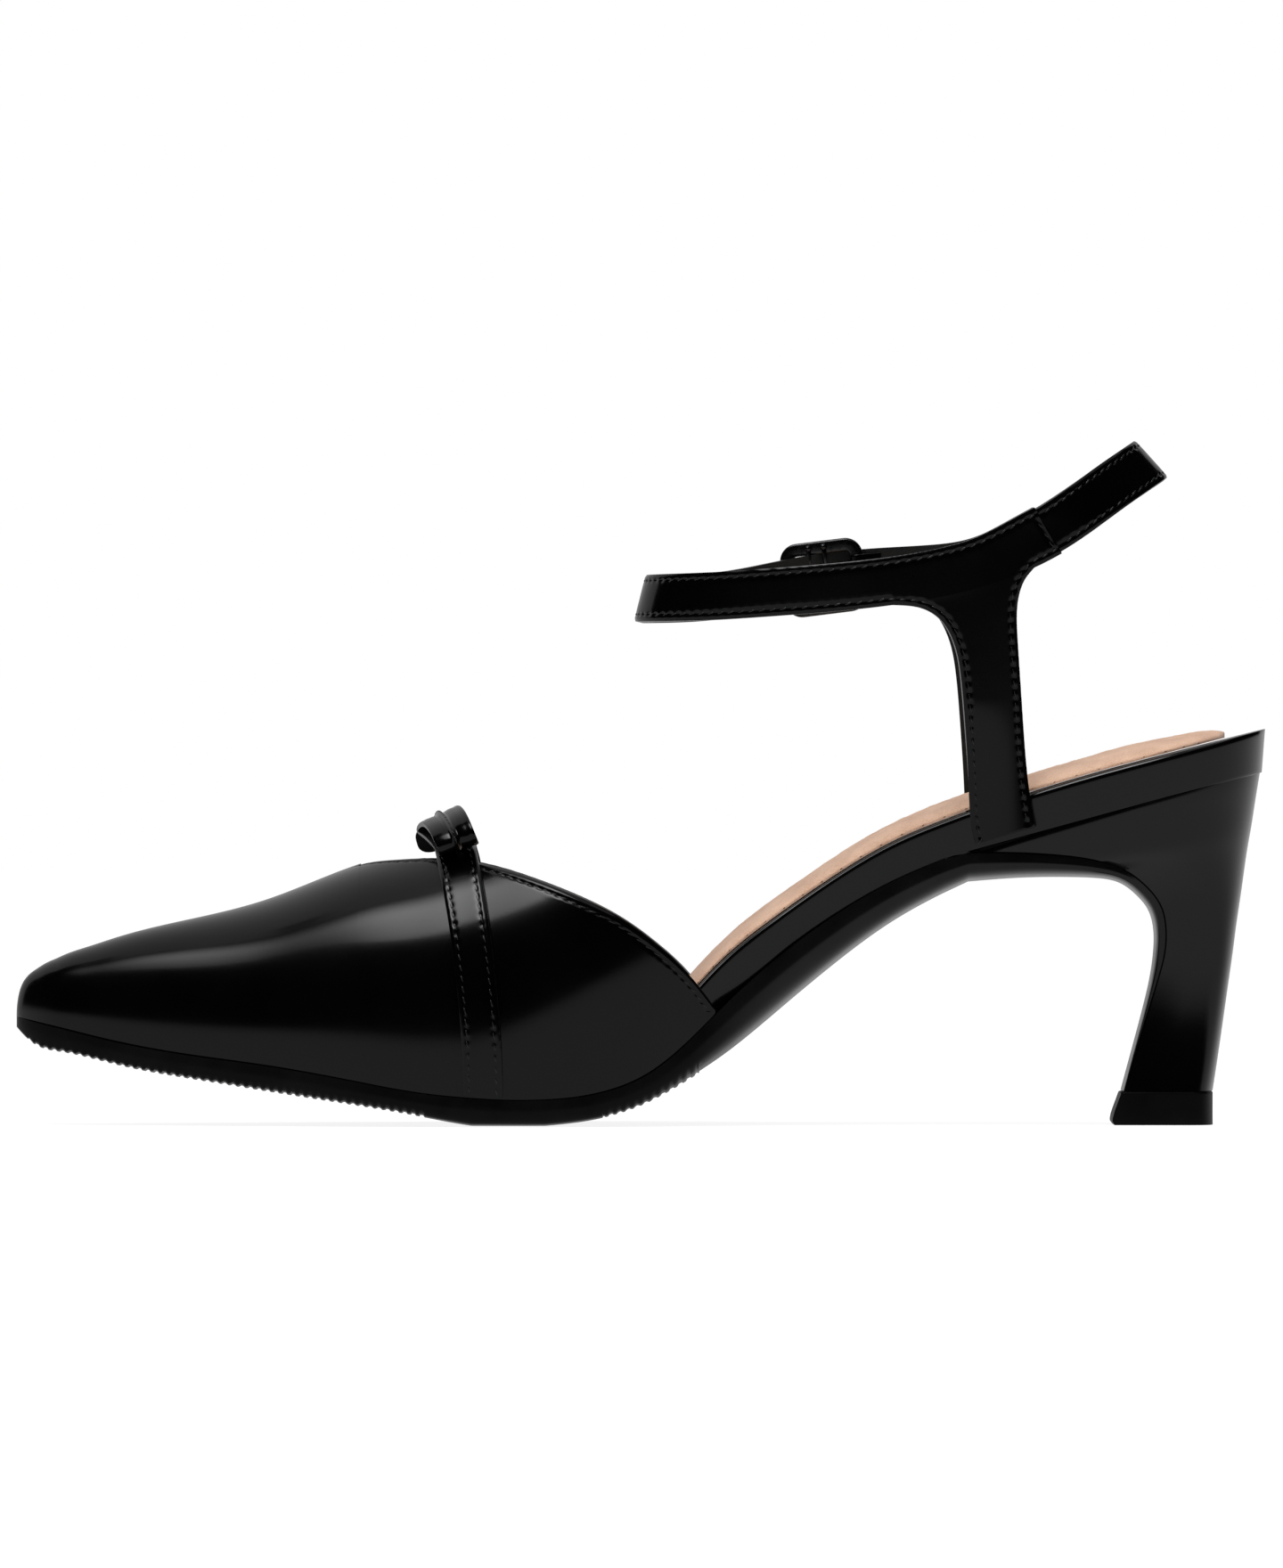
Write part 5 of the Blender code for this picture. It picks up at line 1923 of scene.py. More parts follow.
@dataclass
class Bow:
    """Small bow on the instep band: two folded loops and a wrap between them."""

    last: Last
    band: InstepBand
    wall: float = 1.0
    width: float = 7.9
    inner_turn: float = 0.950
    outer_turn: dict[Side, float] = field(default_factory=lambda: {Side.MEDIAL: 0.662, Side.LATERAL: 0.775})
    height: dict[Side, float] = field(default_factory=lambda: {Side.MEDIAL: 7.8, Side.LATERAL: 4.0})
    heel_rise: float = 1.5
    pinch: float = 0.42
    square: float = 0.9
    shift: float = -2.4
    skew: dict[Side, float] = field(default_factory=lambda: {Side.MEDIAL: 5.2, Side.LATERAL: 0.8})
    ridge_height: float = 0.55
    ridge_width: float = 0.34
    crease_depth: float = 0.045
    knot_half_turn: float = 0.036
    knot_half_length: float = 4.6
    knot_under: float = 1.6
    knot_over: float = 3.6
    knot_square: float = 0.62
    knot_crown: float = 0.25
    trough_depth: float = 0.18
    trough_place: float = 0.8
    trough_width: float = 0.4
    crease_pitch: float = 4.1
    crease_start: float = 0.7
    crease_range: tuple[float, float] = (0.9, 1.5)
    roll_depth: float = 0.22
    roll_width: float = 0.6
    rim_depths: tuple[float, ...] = (0.0, 0.15, 0.5, 0.85, 1.0)
    ridge_widths: tuple[float, float, int] = (0.36, 0.64, 14)
    seam_shares: tuple[float, float, int] = (0.04, 0.46, 60)
    width_steps: int = 18
    round_steps: int = 120
    knot_steps: tuple[int, int] = (12, 96)
    needle: Needle = Needle(pitch=1.6, length=1.1, width=0.28, height=0.22, sink=0.04)

    def loop_point(self, side: Side, width: float, share: float, depth: float, lift: float = 0.0) -> Vector:
        """Point of a loop.

        Args:
            side: side of the foot that the loop lies on.
            width: share of the strip's width.
            share: share of the way round the loop.
            depth: 0 on its face and 1 on its inner face.
            lift: height above its face.

        Returns:
            The point in millimetres.
        """
        outer = self.outer_turn[side]
        middle = (self.inner_turn + outer) / 2
        reach = (self.inner_turn - outer) / 2
        chord = self.last.skin(self.band.crest, self.inner_turn) - self.last.skin(self.band.crest, outer)
        scale = 2 * reach / chord.length
        angle = share * 2 * math.pi
        inset = self.wall * depth - lift
        turn = middle + (reach - inset * scale) * squared(math.cos(angle), self.square)
        tall = self.height[side] + self.heel_rise * (width - 0.5)
        half = tall / 2 * mix(1.0, self.pinch, (1 + math.cos(angle)) / 2)
        floor = GAP + self.band.wall + GAP
        up = floor + half + (half - inset) * squared(math.sin(angle), self.square)
        shift = self.shift + self.skew[side] * (self.inner_turn - turn) / (2 * reach)
        along = self.band.crest + shift + (width - 0.5) * self.width
        return self.last.lifted(along, turn if side == Side.MEDIAL else 2 - turn, up)

    def face_lift(self, width: float) -> float:
        """Raised seam along the middle of the strip and its rolled edges.

        Args:
            width: share of the strip's width.

        Returns:
            The height over the plain strip.
        """
        across = (width - 0.5) * self.width
        ridge = self.ridge_height * math.exp(-((across / self.ridge_width) ** 2))
        beside = (abs(across) - self.trough_place) / self.trough_width
        trough = self.trough_depth * math.exp(-(beside**2))
        wave = math.cos(across * self.crease_pitch + self.crease_start)
        crease = self.crease_depth * wave * blend(*self.crease_range, abs(across))
        from_edge = self.width / 2 - abs(across)
        roll = self.roll_depth * max(1 - from_edge / self.roll_width, 0.0) ** 2
        return ridge - trough - roll - crease

    def build_loop(self, name: str, node: str, side: Side, finishes: Finishes) -> list[Seam]:
        """Builds one loop.

        Args:
            name: name of the piece.
            node: node that it stands for.
            side: side of the foot that it lies on.
            finishes: materials of the shoe.

        Returns:
            The seam on its middle line.
        """
        turns = even(-math.pi / 2, math.pi / 2, self.width_steps)
        widths = [0.5 + 0.5 * math.sin(turn) for turn in turns]
        widths = sorted(set(widths + even(*self.ridge_widths)))
        rounds = even(0.0, 1.0, self.round_steps)
        mesh = bmesh.new()
        lay_grid(mesh, widths, rounds, lambda w, s: self.loop_point(side, w, s, 0.0, self.face_lift(w)))
        face = len(mesh.faces)
        lay_grid(mesh, widths, rounds, lambda w, s: self.loop_point(side, w, s, 1.0))
        inner = len(mesh.faces)
        for width in (0.0, 1.0):
            roll = self.face_lift(width)
            lay_grid(
                mesh,
                self.rim_depths,
                rounds,
                lambda d, s, w=width, r=roll: self.loop_point(side, w, s, d, r * (1 - d)),
            )
        mesh.faces.ensure_lookup_table()
        for number, item in enumerate(mesh.faces):
            item.material_index = 0 if number < face else 1 if number < inner else 2
        weld(mesh)
        bmesh.ops.recalc_face_normals(mesh, faces=mesh.faces)
        rim = finishes.edge if side == Side.MEDIAL else finishes.raw
        add_piece(name, mesh, [finishes.strap, finishes.lining, rim], [node], SHARP_FORM)
        shares = even(*self.seam_shares)
        points = [self.loop_point(side, 0.5, share, 0.0, self.ridge_height) for share in shares]
        outs = []
        for share in shares:
            inside = self.loop_point(side, 0.5, share, 0.5)
            outs.append((self.loop_point(side, 0.5, share, 0.0) - inside).normalized())
        return [Seam(points, outs)]

    def build_knot(self, finishes: Finishes) -> None:
        """Builds the wrap between the loops.

        Args:
            finishes: materials of the shoe.
        """
        mesh = bmesh.new()
        middle = (self.knot_over - self.knot_under) / 2
        half = (self.knot_over + self.knot_under) / 2

        def point(turn: float, share: float) -> Vector:
            """Point of the wrap's face.

            Args:
                turn: 0 at the medial feather edge, 1 at the ridge and 2 at the lateral edge.
                share: share of the way round the wrap.

            Returns:
                The point in millimetres.
            """
            angle = share * 2 * math.pi
            along = squared(math.cos(angle), self.knot_square) * self.knot_half_length
            lift = middle + squared(math.sin(angle), self.knot_square) * half
            crown = self.knot_crown * (1 - ((turn - 1) / self.knot_half_turn) ** 2)
            lift += crown * math.sin(angle)
            return self.last.lifted(self.band.crest + self.shift + along, turn, lift)

        width_steps, round_steps = self.knot_steps
        turns = even(1 - self.knot_half_turn, 1 + self.knot_half_turn, width_steps)
        lay_grid(mesh, turns, even(0.0, 1.0, round_steps), point)
        close_up(mesh)
        for face in mesh.faces:
            face.material_index = 0 if len(face.verts) == 4 else 1
        add_piece("bow_wrap", mesh, [finishes.strap, finishes.raw], ["bow_knot"], SHARP_FORM)

    def build(self, finishes: Finishes) -> None:
        """Builds both loops, the wrap and the stitches on the loops.

        Args:
            finishes: materials of the shoe.
        """
        seams = self.build_loop("bow_loop_near", "bow_loop_medial", Side.MEDIAL, finishes)
        seams += self.build_loop("bow_loop_far", "bow_loop_lateral", Side.LATERAL, finishes)
        self.build_knot(finishes)
        sewn_piece("bow_stitches", seams, self.needle, finishes.thread)


@dataclass
class AnkleStraps:
    """T-shaped straps on both sides, the long one with the free end, and the strap round the back."""

    last: Last
    ring: AnkleRing
    width: float = 9.5
    wall: float = 1.8
    rim_inset: float = 1.0
    seam_along: float = 204.6
    fork_back: float = 199.6
    fork_front: float = 173.2
    bar_blend: tuple[float, float] = (51.0, 84.5)
    seam_flare: float = 0.55
    seam_lift: float = 0.1
    flare_range: tuple[float, float] = (188.0, 203.0)
    back_width: float = 9.8
    back_wall: float = 1.6
    back_tuck: float = 199.0
    back_drop: float = 0.6
    drop_fade: tuple[float, float] = (206.0, 222.0)
    free_end: float = 191.0
    tip_length: float = 6.0
    short_end: float = 169.2
    overlap_rise: tuple[float, float] = (141.0, 163.0)
    overlap_height: float = 2.6
    tip_least: float = 0.12
    fork_columns: int = 64
    drape: int = 4
    bar_ease: float = 1.25
    edge_ease: float = 1.3
    edge_probe: float = 0.02
    edge_spread: tuple[float, float] = (0.4, 0.6)
    row_inset: float = 0.8
    tuck_narrowing: float = 0.5
    tuck_range: tuple[float, float] = (-0.6, 0.4)
    back_shown: float = 1.0
    free_stop: float = 0.05
    head_steps: int = 14
    bar_steps: int = 150
    edge_steps: int = 120
    row_steps: int = 20
    back_steps: tuple[int, int] = (190, 150)
    long_steps: tuple[int, int] = (130, 170)
    short_steps: int = 8
    inside: dict[Side, float] = field(default_factory=lambda: {Side.MEDIAL: 178.0, Side.LATERAL: 190.0})
    inside_up: float = 95.0
    back_inside: tuple[float, float, float] = (190.0, 0.0, 120.0)
    near: tuple[float, ...] = (0, 0.15, 0.3, 0.5, 0.75, 1, 1.15, 1.3, 1.45, 1.6, 1.85, 2.3, 3, 3.9)
    hem: Hem = Hem()
    bar: dict[str, Curve] = field(
        default_factory=lambda: {name: T_BAR.curve(name, "share") for name in T_BAR.columns}
    )

    def overlap_out(self, angle: float) -> float:
        """Distance by which the long end rises over the buckle's heel bar and the short branch.

        Args:
            angle: angle round the ankle.

        Returns:
            The distance in millimetres.
        """
        if angle <= math.pi:
            return 0.0
        return self.overlap_height * blend(*self.overlap_rise, self.ring.along(angle))

    @staticmethod
    def flat(_: float) -> float:
        """Distance out of a strap that lies on the ring's own line."""
        return 0.0

    def fork_angle(self, share: float, side: Side) -> float:
        """Angle of the strap above a column of the T-bar."""
        return self.ring.angle(mix(self.fork_back, self.fork_front, share), side)

    def hung(self, share: float, down: float, side: Side) -> Vector:
        """Point between the T-bar's back and front edges, down from the strap to the seat.

        Args:
            share: 0 at the bar's back edge and 1 at its front edge.
            down: 0 at the strap and 1 at the seat.
            side: side of the foot.

        Returns:
            The point in millimetres.
        """
        along = mix(self.bar["back"].at(down), self.bar["front"].at(down), share)
        up = mix(self.bar["back_up"].at(down), self.bar["front_up"].at(down), share)
        rim = self.last.half_width(along, side, self.rim_inset) + GAP + self.wall
        ring = self.ring.half_width * math.sqrt(1 - ((along - self.ring.middle) / self.ring.reach) ** 2)
        return Vector((along, side * mix(rim, ring, blend(*self.bar_blend, up)), up))

    def bar_point(self, share: float, down: float, side: Side) -> Vector:
        """Point of the T-bar, its first row drawn to the lower edge of the strap.

        Args:
            share: 0 at the bar's back edge and 1 at its front edge.
            down: 0 at the strap and 1 at the seat.
            side: side of the foot.

        Returns:
            The point in millimetres.
        """
        angle = self.fork_angle(share, side)
        top = self.ring.point(angle, -self.half(angle), 0.0)
        pull = (1 - down) ** self.drape
        return self.hung(share, down, side) + (top - self.hung(share, 0.0, side)) * pull

    def half(self, angle: float) -> float:
        """Half width of a T strap, a little wider towards its seam."""
        return self.width / 2 + self.seam_flare * blend(*self.flare_range, self.ring.along(angle))

    def long_half(self, angle: float) -> float:
        """Half width of the long strap, rounded off at its free end.

        Args:
            angle: angle round the ankle.

        Returns:
            The half width in millimetres.
        """
        if angle <= math.pi:
            return self.half(angle)
        left = max(self.free_end - self.ring.along(angle), 0.0)
        return self.width / 2 * max(round_start(left, self.tip_length), self.tip_least)

    def across(self) -> list[float]:
        """Places across a strap as shares of its half width, closer beside the stitches."""
        return across_strap([place / (self.width / 2) for place in self.near], 1.0)

    def strap_edge(self, angles: Sequence[float], sign: int, half: Callable, out: Callable) -> Seam:
        """Upper or lower edge of a strap through a row of angles.

        Args:
            angles: angles round the ankle.
            sign: 1 for the upper edge and -1 for the lower one.
            half: gives the half width at an angle.
            out: gives the distance out of the ring's line at an angle.

        Returns:
            The line of the edge.
        """
        points = [self.ring.point(angle, sign * half(angle), out(angle)) for angle in angles]
        outs = [self.ring.outward(angle, sign * half(angle)) for angle in angles]
        return Seam(points, outs)

    def bar_edge(self, share: float, side: Side) -> Seam:
        """Back or front edge of a T-bar, from the strap down.

        Args:
            share: 0 at the bar's back edge and 1 at its front edge.
            side: side of the foot.

        Returns:
            The line of the edge.
        """
        behind, ahead = self.edge_spread
        points = []
        outs = []
        for down in (step**self.edge_ease for step in even(0.0, 1.0, self.edge_steps)):
            here = self.bar_point(share, down, side)
            spread = self.bar_point(ahead, down, side) - self.bar_point(behind, down, side)
            drop = self.bar_point(share, down + self.edge_probe, side) - here
            out = spread.cross(drop).normalized()
            points.append(here)
            outs.append(out if out.y * side > 0 else -out)
        return Seam(points, outs)

    def build_t(self, name: str, node: str, side: Side, branch: Sequence[float], finishes: Finishes) -> None:
        """Builds one T-shaped strap with its stitches.

        Args:
            name: name of the piece.
            node: node that it stands for.
            side: side of the foot.
            branch: angles of the branch that runs on from the fork.
            finishes: materials of the shoe.
        """
        long = side == Side.MEDIAL
        half = self.long_half if long else self.half
        out = self.overlap_out if long else self.flat
        columns = even(0.0, 1.0, self.fork_columns)
        fork = [self.fork_angle(share, side) for share in columns]
        head = even(self.ring.angle(self.seam_along, side), fork[0], self.head_steps)
        angles = head[:-1] + fork + list(branch)
        mesh = bmesh.new()
        lay_grid(
            mesh,
            self.across(),
            angles,
            lambda share, angle: self.ring.point(angle, share * half(angle), out(angle)),
        )
        downs = [down**self.bar_ease for down in even(0.0, 1.0, self.bar_steps)]
        lay_grid(mesh, columns, downs, lambda share, down: self.bar_point(share, down, side))
        weld(mesh)
        face_away(mesh, Vector((self.inside[side], 0.0, self.inside_up)))
        top = self.strap_edge(angles, 1, half, out)
        low = self.strap_edge([fork[-1]] + list(branch), -1, half, out)
        front = self.bar_edge(1.0, side)
        back = self.bar_edge(0.0, side)
        tail = self.strap_edge(head, -1, half, out)
        back = Seam(tail.points[:-1] + back.points, tail.outs[:-1] + back.outs)
        front = Seam(front.points[::-1] + low.points[1:], front.outs[::-1] + low.outs[1:])
        sense = int(side)
        edges = [top, front, back]
        seams = [
            top.inset(self.hem.inset, -sense),
            front.inset(self.hem.inset, sense),
            back.inset(self.hem.inset, sense),
            self.seam_row(side),
        ]
        materials = finishes.sheet(finishes.strap)
        strap = Sheet(name, node, f"{name}_stitches", materials, self.wall, self.hem, edges, seams)
        strap.build(mesh, finishes.thread)

    def seam_row(self, side: Side) -> Seam:
        """Row of stitches across the strap where it overlaps the back strap.

        Args:
            side: side of the foot.

        Returns:
            The line of the row.
        """
        angle = self.ring.angle(self.seam_along - self.row_inset, side)
        reach = self.half(angle) - self.hem.inset
        widths = even(-reach, reach, self.row_steps)
        points = [self.ring.point(angle, width, self.seam_lift) for width in widths]
        return Seam(points, [self.ring.outward(angle, width) for width in widths])

    def build_back(self, finishes: Finishes) -> None:
        """Builds the strap round the back of the ankle with its stitches.

        Args:
            finishes: materials of the shoe.
        """
        end = self.ring.angle(self.back_tuck, Side.MEDIAL)
        inner = -self.wall - GAP

        def half(angle: float) -> float:
            """Half width of the back strap, narrower where it lies under the T straps.

            Args:
                angle: angle round the ankle.

            Returns:
                The half width in millimetres.
            """
            low, high = (self.seam_along + place for place in self.tuck_range)
            hidden = 1 - blend(low, high, self.ring.along(angle))
            return self.back_width / 2 - self.tuck_narrowing * hidden

        def drop(angle: float) -> float:
            """How far it lies below the line of the T straps, beside their ends."""
            return self.back_drop * (1 - blend(*self.drop_fade, self.ring.along(angle)))

        def out(_: float) -> float:
            """Distance inside the T straps."""
            return inner

        sheet_steps, row_steps = self.back_steps
        angles = even(-end, end, sheet_steps)
        mesh = bmesh.new()
        lay_grid(
            mesh,
            self.across(),
            angles,
            lambda share, angle: self.ring.point(angle, share * half(angle) - drop(angle), inner),
        )
        face_away(mesh, Vector(self.back_inside))
        top = self.strap_edge(angles, 1, lambda angle: half(angle) - drop(angle), out)
        low = self.strap_edge(angles, -1, lambda angle: half(angle) + drop(angle), out)
        shown = self.ring.angle(self.seam_along + self.back_shown, Side.MEDIAL)
        angles = even(-shown, shown, row_steps)
        rows = [
            self.strap_edge(
                angles, sign, lambda angle, sign=sign: half(angle) - self.hem.inset - sign * drop(angle), out
            )
            for sign in (1, -1)
        ]
        names = ("strap_back", "back_strap", "strap_back_stitches")
        materials = finishes.sheet(finishes.strap)
        strap = Sheet(*names, materials, self.back_wall, self.hem, [top, low], rows)
        strap.build(mesh, finishes.thread)

    def build(self, finishes: Finishes) -> None:
        """Builds the three straps.

        Args:
            finishes: materials of the shoe.
        """
        fork = self.fork_angle(1.0, Side.MEDIAL)
        free = self.ring.angle(self.free_end - self.free_stop, Side.LATERAL)
        near_steps, far_steps = self.long_steps
        branch = even(fork, math.pi, near_steps)[1:] + even(math.pi, free, far_steps)[1:]
        self.build_t("strap_medial", "ankle_strap_medial", Side.MEDIAL, branch, finishes)
        fork = self.fork_angle(1.0, Side.LATERAL)
        short = even(fork, self.ring.angle(self.short_end, Side.LATERAL), self.short_steps)[1:]
        self.build_t("strap_lateral", "ankle_strap_lateral", Side.LATERAL, short, finishes)
        self.build_back(finishes)


@dataclass
class Buckle:
    """Plated frame with a prong, held in a fold of the short strap."""

    ring: AnkleRing
    straps: AnkleStraps
    front: float = 155.0
    heel: float = 167.4
    half_height: float = 6.4
    wire: float = 1.0
    bar_half: float = 1.32
    bar_thick: float = 0.8
    corner: float = 2.2
    pins: tuple[float, float] = (158.9, 162.0)
    pin_radius: float = 0.5
    pin_half_length: float = 2.2
    pin_rise: float = 1.6
    pin_depth: float = 1.0
    pin_head: float = 1.4
    pin_facets: tuple[int, int] = (12, 8)
    play: float = 0.2
    bar_square: float = 0.5
    prong_wire: float = 0.6
    prong_crest: float = 3.0
    prong_tip: float = 0.6
    prong_play: float = 0.1
    prong_rise: tuple[float, float] = (0.8, 1.5)
    prong_thin: float = 0.72
    prong_thinning: tuple[float, float] = (0.7, 1.0)
    fold_wall: float = 0.5
    fold_reach: float = 4.6
    fold_play: float = 0.12
    fold_ends: tuple[float, float] = (0.25, 0.1)
    fold_inset: float = 1.0
    fold_slot: float = 1.1
    fold_rounding: float = 0.12
    fold_steps: tuple[int, int] = (16, 6)
    corner_steps: int = 10

    def axes(self) -> tuple[Matrix, float]:
        """Axes and half length of the frame, from the short branch to over the long one.

        Returns:
            The axes in the part's frame, and the half length in millimetres.
        """
        front_out = self.straps.overlap_out(self.ring.angle(self.front, Side.LATERAL))
        front_out += GAP + self.wire + self.play
        heel = self.ring.axes(self.heel, -self.straps.wall / 2).to_translation()
        front = self.ring.axes(self.front, front_out).to_translation()
        x_axis = (heel - front).normalized()
        y_axis = self.ring.axes((self.front + self.heel) / 2, 0.0).to_3x3().col[1]
        z_axis = x_axis.cross(y_axis).normalized()
        if z_axis.y < 0:
            z_axis.negate()
        y_axis = z_axis.cross(x_axis).normalized()
        turn = Matrix((x_axis, y_axis, z_axis)).transposed().to_4x4()
        return Matrix.Translation((heel + front) / 2) @ turn, (heel - front).length / 2 / MM

    @staticmethod
    def sweep(
        path: Sequence[Vector], way_up: Vector, section: Surface, closed: bool, sides: int = 16
    ) -> bmesh.types.BMesh:
        """Makes a bar along a path.

        Args:
            path: points in metres.
            way_up: way up all along it.
            section: offsets in metres beside and above the path, for an angle and a place.
            closed: whether the path joins up.
            sides: how many faces go round the bar.

        Returns:
            The bar's mesh.
        """
        last = len(path)
        rows = list(range(last + 1)) if closed else list(range(last))
        turns = even(0.0, 2 * math.pi, sides)

        def point(turn: float, row: int) -> Vector:
            """Point of the bar's face, in the shoe's millimetres.

            Args:
                turn: angle round the bar.
                row: number of the path's point.

            Returns:
                The point in millimetres.
            """
            here = path[row % last]
            after = path[(row + 1) % last] if closed else path[min(row + 1, last - 1)]
            before = path[row - 1] if closed else path[max(row - 1, 0)]
            beside = (after - before).cross(way_up).normalized()
            offset = section(turn, row / max(last - 1, 1))
            return from_frame(here + beside * offset.x + way_up * offset.y)

        mesh = bmesh.new()
        lay_grid(mesh, turns, rows, point)
        close_up(mesh)
        return mesh

    def build_frame(self, finishes: Finishes) -> None:
        """Builds the rounded frame.

        Args:
            finishes: materials of the shoe.
        """
        axes, half_length = self.axes()
        way_out = axes.to_3x3().col[2].copy()
        path = []
        inward = self.bar_half - self.wire
        x_reach = half_length - self.corner
        y_reach = self.half_height - inward - self.corner
        for x_sign, y_sign, start in ((1, 1, 0), (-1, 1, 90), (-1, -1, 180), (1, -1, 270)):
            for angle in even(start, start + 90, self.corner_steps):
                turn = math.radians(angle)
                x_place = x_sign * x_reach + self.corner * math.cos(turn)
                y_place = y_sign * y_reach + self.corner * math.sin(turn)
                path.append(axes @ Vector((x_place * MM, y_place * MM, 0.0)))

        def section(turn: float, _: float) -> Vector:
            """Flat bar with soft edges.

            Args:
                turn: angle round the bar.

            Returns:
                The offset in metres.
            """
            beside = squared(math.cos(turn), self.bar_square) * self.bar_half
            above = squared(math.sin(turn), self.bar_square) * self.bar_thick
            return Vector((beside, above)) * MM

        mesh = self.sweep(path, way_out, section, True)
        self.add_pins(mesh, axes, y_reach + self.corner)
        add_piece("buckle_ring", mesh, [finishes.metal], ["buckle_frame"], SHARP_FORM)

    def add_pins(self, mesh: bmesh.types.BMesh, axes: Matrix, reach: float) -> None:
        """Adds two short pins with domed heads behind the upper bar.

        Args:
            mesh: mesh of the frame.
            axes: axes of the frame.
            reach: height of the upper bar's middle over the frame's.
        """
        middle = (self.front + self.heel) / 2
        round_it, down = self.pin_facets
        head = self.pin_radius * self.pin_head
        forms = (
            (self.pin_rise - reach, (self.pin_radius, self.pin_half_length, self.pin_radius)),
            (-reach, (head, head, head)),
        )
        for along in self.pins:
            for up, half_sizes in forms:
                where = Matrix.Translation(Vector((along - middle, up, -self.pin_depth)) * MM)
                size = Matrix.Diagonal(Vector(half_sizes) * MM).to_4x4()
                bmesh.ops.create_uvsphere(
                    mesh, u_segments=round_it, v_segments=down, radius=1.0, matrix=axes @ where @ size
                )

    def build_prong(self, finishes: Finishes) -> None:
        """Builds the prong from the heel bar over the front bar.

        Args:
            finishes: materials of the shoe.
        """
        axes, half_length = self.axes()
        way_out = axes.to_3x3().col[2].copy()
        clear = self.wire + self.prong_wire + GAP
        root = half_length - clear - self.prong_play
        rise, crest = self.prong_rise
        route = [
            (root, 0.0),
            (root - rise * self.prong_crest, rise * self.prong_crest),
            (root - crest * self.prong_crest, self.prong_crest),
            (-half_length + self.wire, clear + GAP),
            (-half_length - self.prong_tip, clear),
        ]
        path = [axes @ Vector((x_place * MM, 0.0, z_place * MM)) for x_place, z_place in soften(route, 3)]

        def section(turn: float, place: float) -> Vector:
            """Round wire that thins out at its tip."""
            size = self.prong_wire * MM * mix(1.0, self.prong_thin, blend(*self.prong_thinning, place))
            return Vector((math.cos(turn), math.sin(turn))) * size

        mesh = self.sweep(path, way_out, section, False)
        add_piece("buckle_tongue", mesh, [finishes.metal], ["buckle_prong"], SHARP_FORM)

    def build_fold(self, finishes: Finishes) -> None:
        """Builds the fold of the short strap round the heel bar.

        Args:
            finishes: materials of the shoe.
        """
        axes = self.ring.axes(self.heel, -self.straps.wall / 2)
        radius = self.wire + self.fold_play + self.fold_wall
        outer, inner = self.fold_ends
        profile = [(self.fold_reach, radius - outer)]
        round_steps, width_steps = self.fold_steps
        for turn in (math.radians(degrees) for degrees in even(90.0, 270.0, round_steps)):
            profile.append((radius * math.cos(turn), radius * math.sin(turn)))
        profile.append((self.fold_reach, -radius + inner))
        half = self.straps.width / 2 - self.fold_inset

        def point(across: float, spot: tuple[float, float]) -> Vector:
            """Point of the fold, in the shoe's millimetres."""
            return from_frame(axes @ (Vector((spot[0], across, spot[1])) * MM))

        mesh = bmesh.new()
        for low, high in ((-half, -self.fold_slot), (self.fold_slot, half)):
            lay_grid(mesh, even(low, high, width_steps), profile, point)
        bmesh.ops.recalc_face_normals(mesh, faces=mesh.faces)
        middle = axes.to_translation()
        if sum((face.calc_center_median() - middle).dot(face.normal) for face in mesh.faces) < 0:
            bmesh.ops.reverse_faces(mesh, faces=mesh.faces)
        fold = add_piece("buckle_fold", mesh, finishes.sheet(finishes.strap))
        thicken(fold, self.fold_wall, self.fold_rounding)

    def build(self, finishes: Finishes) -> None:
        """Builds frame, prong and fold.

        Args:
            finishes: materials of the shoe.
        """
        self.build_frame(finishes)
        self.build_prong(finishes)
        self.build_fold(finishes)


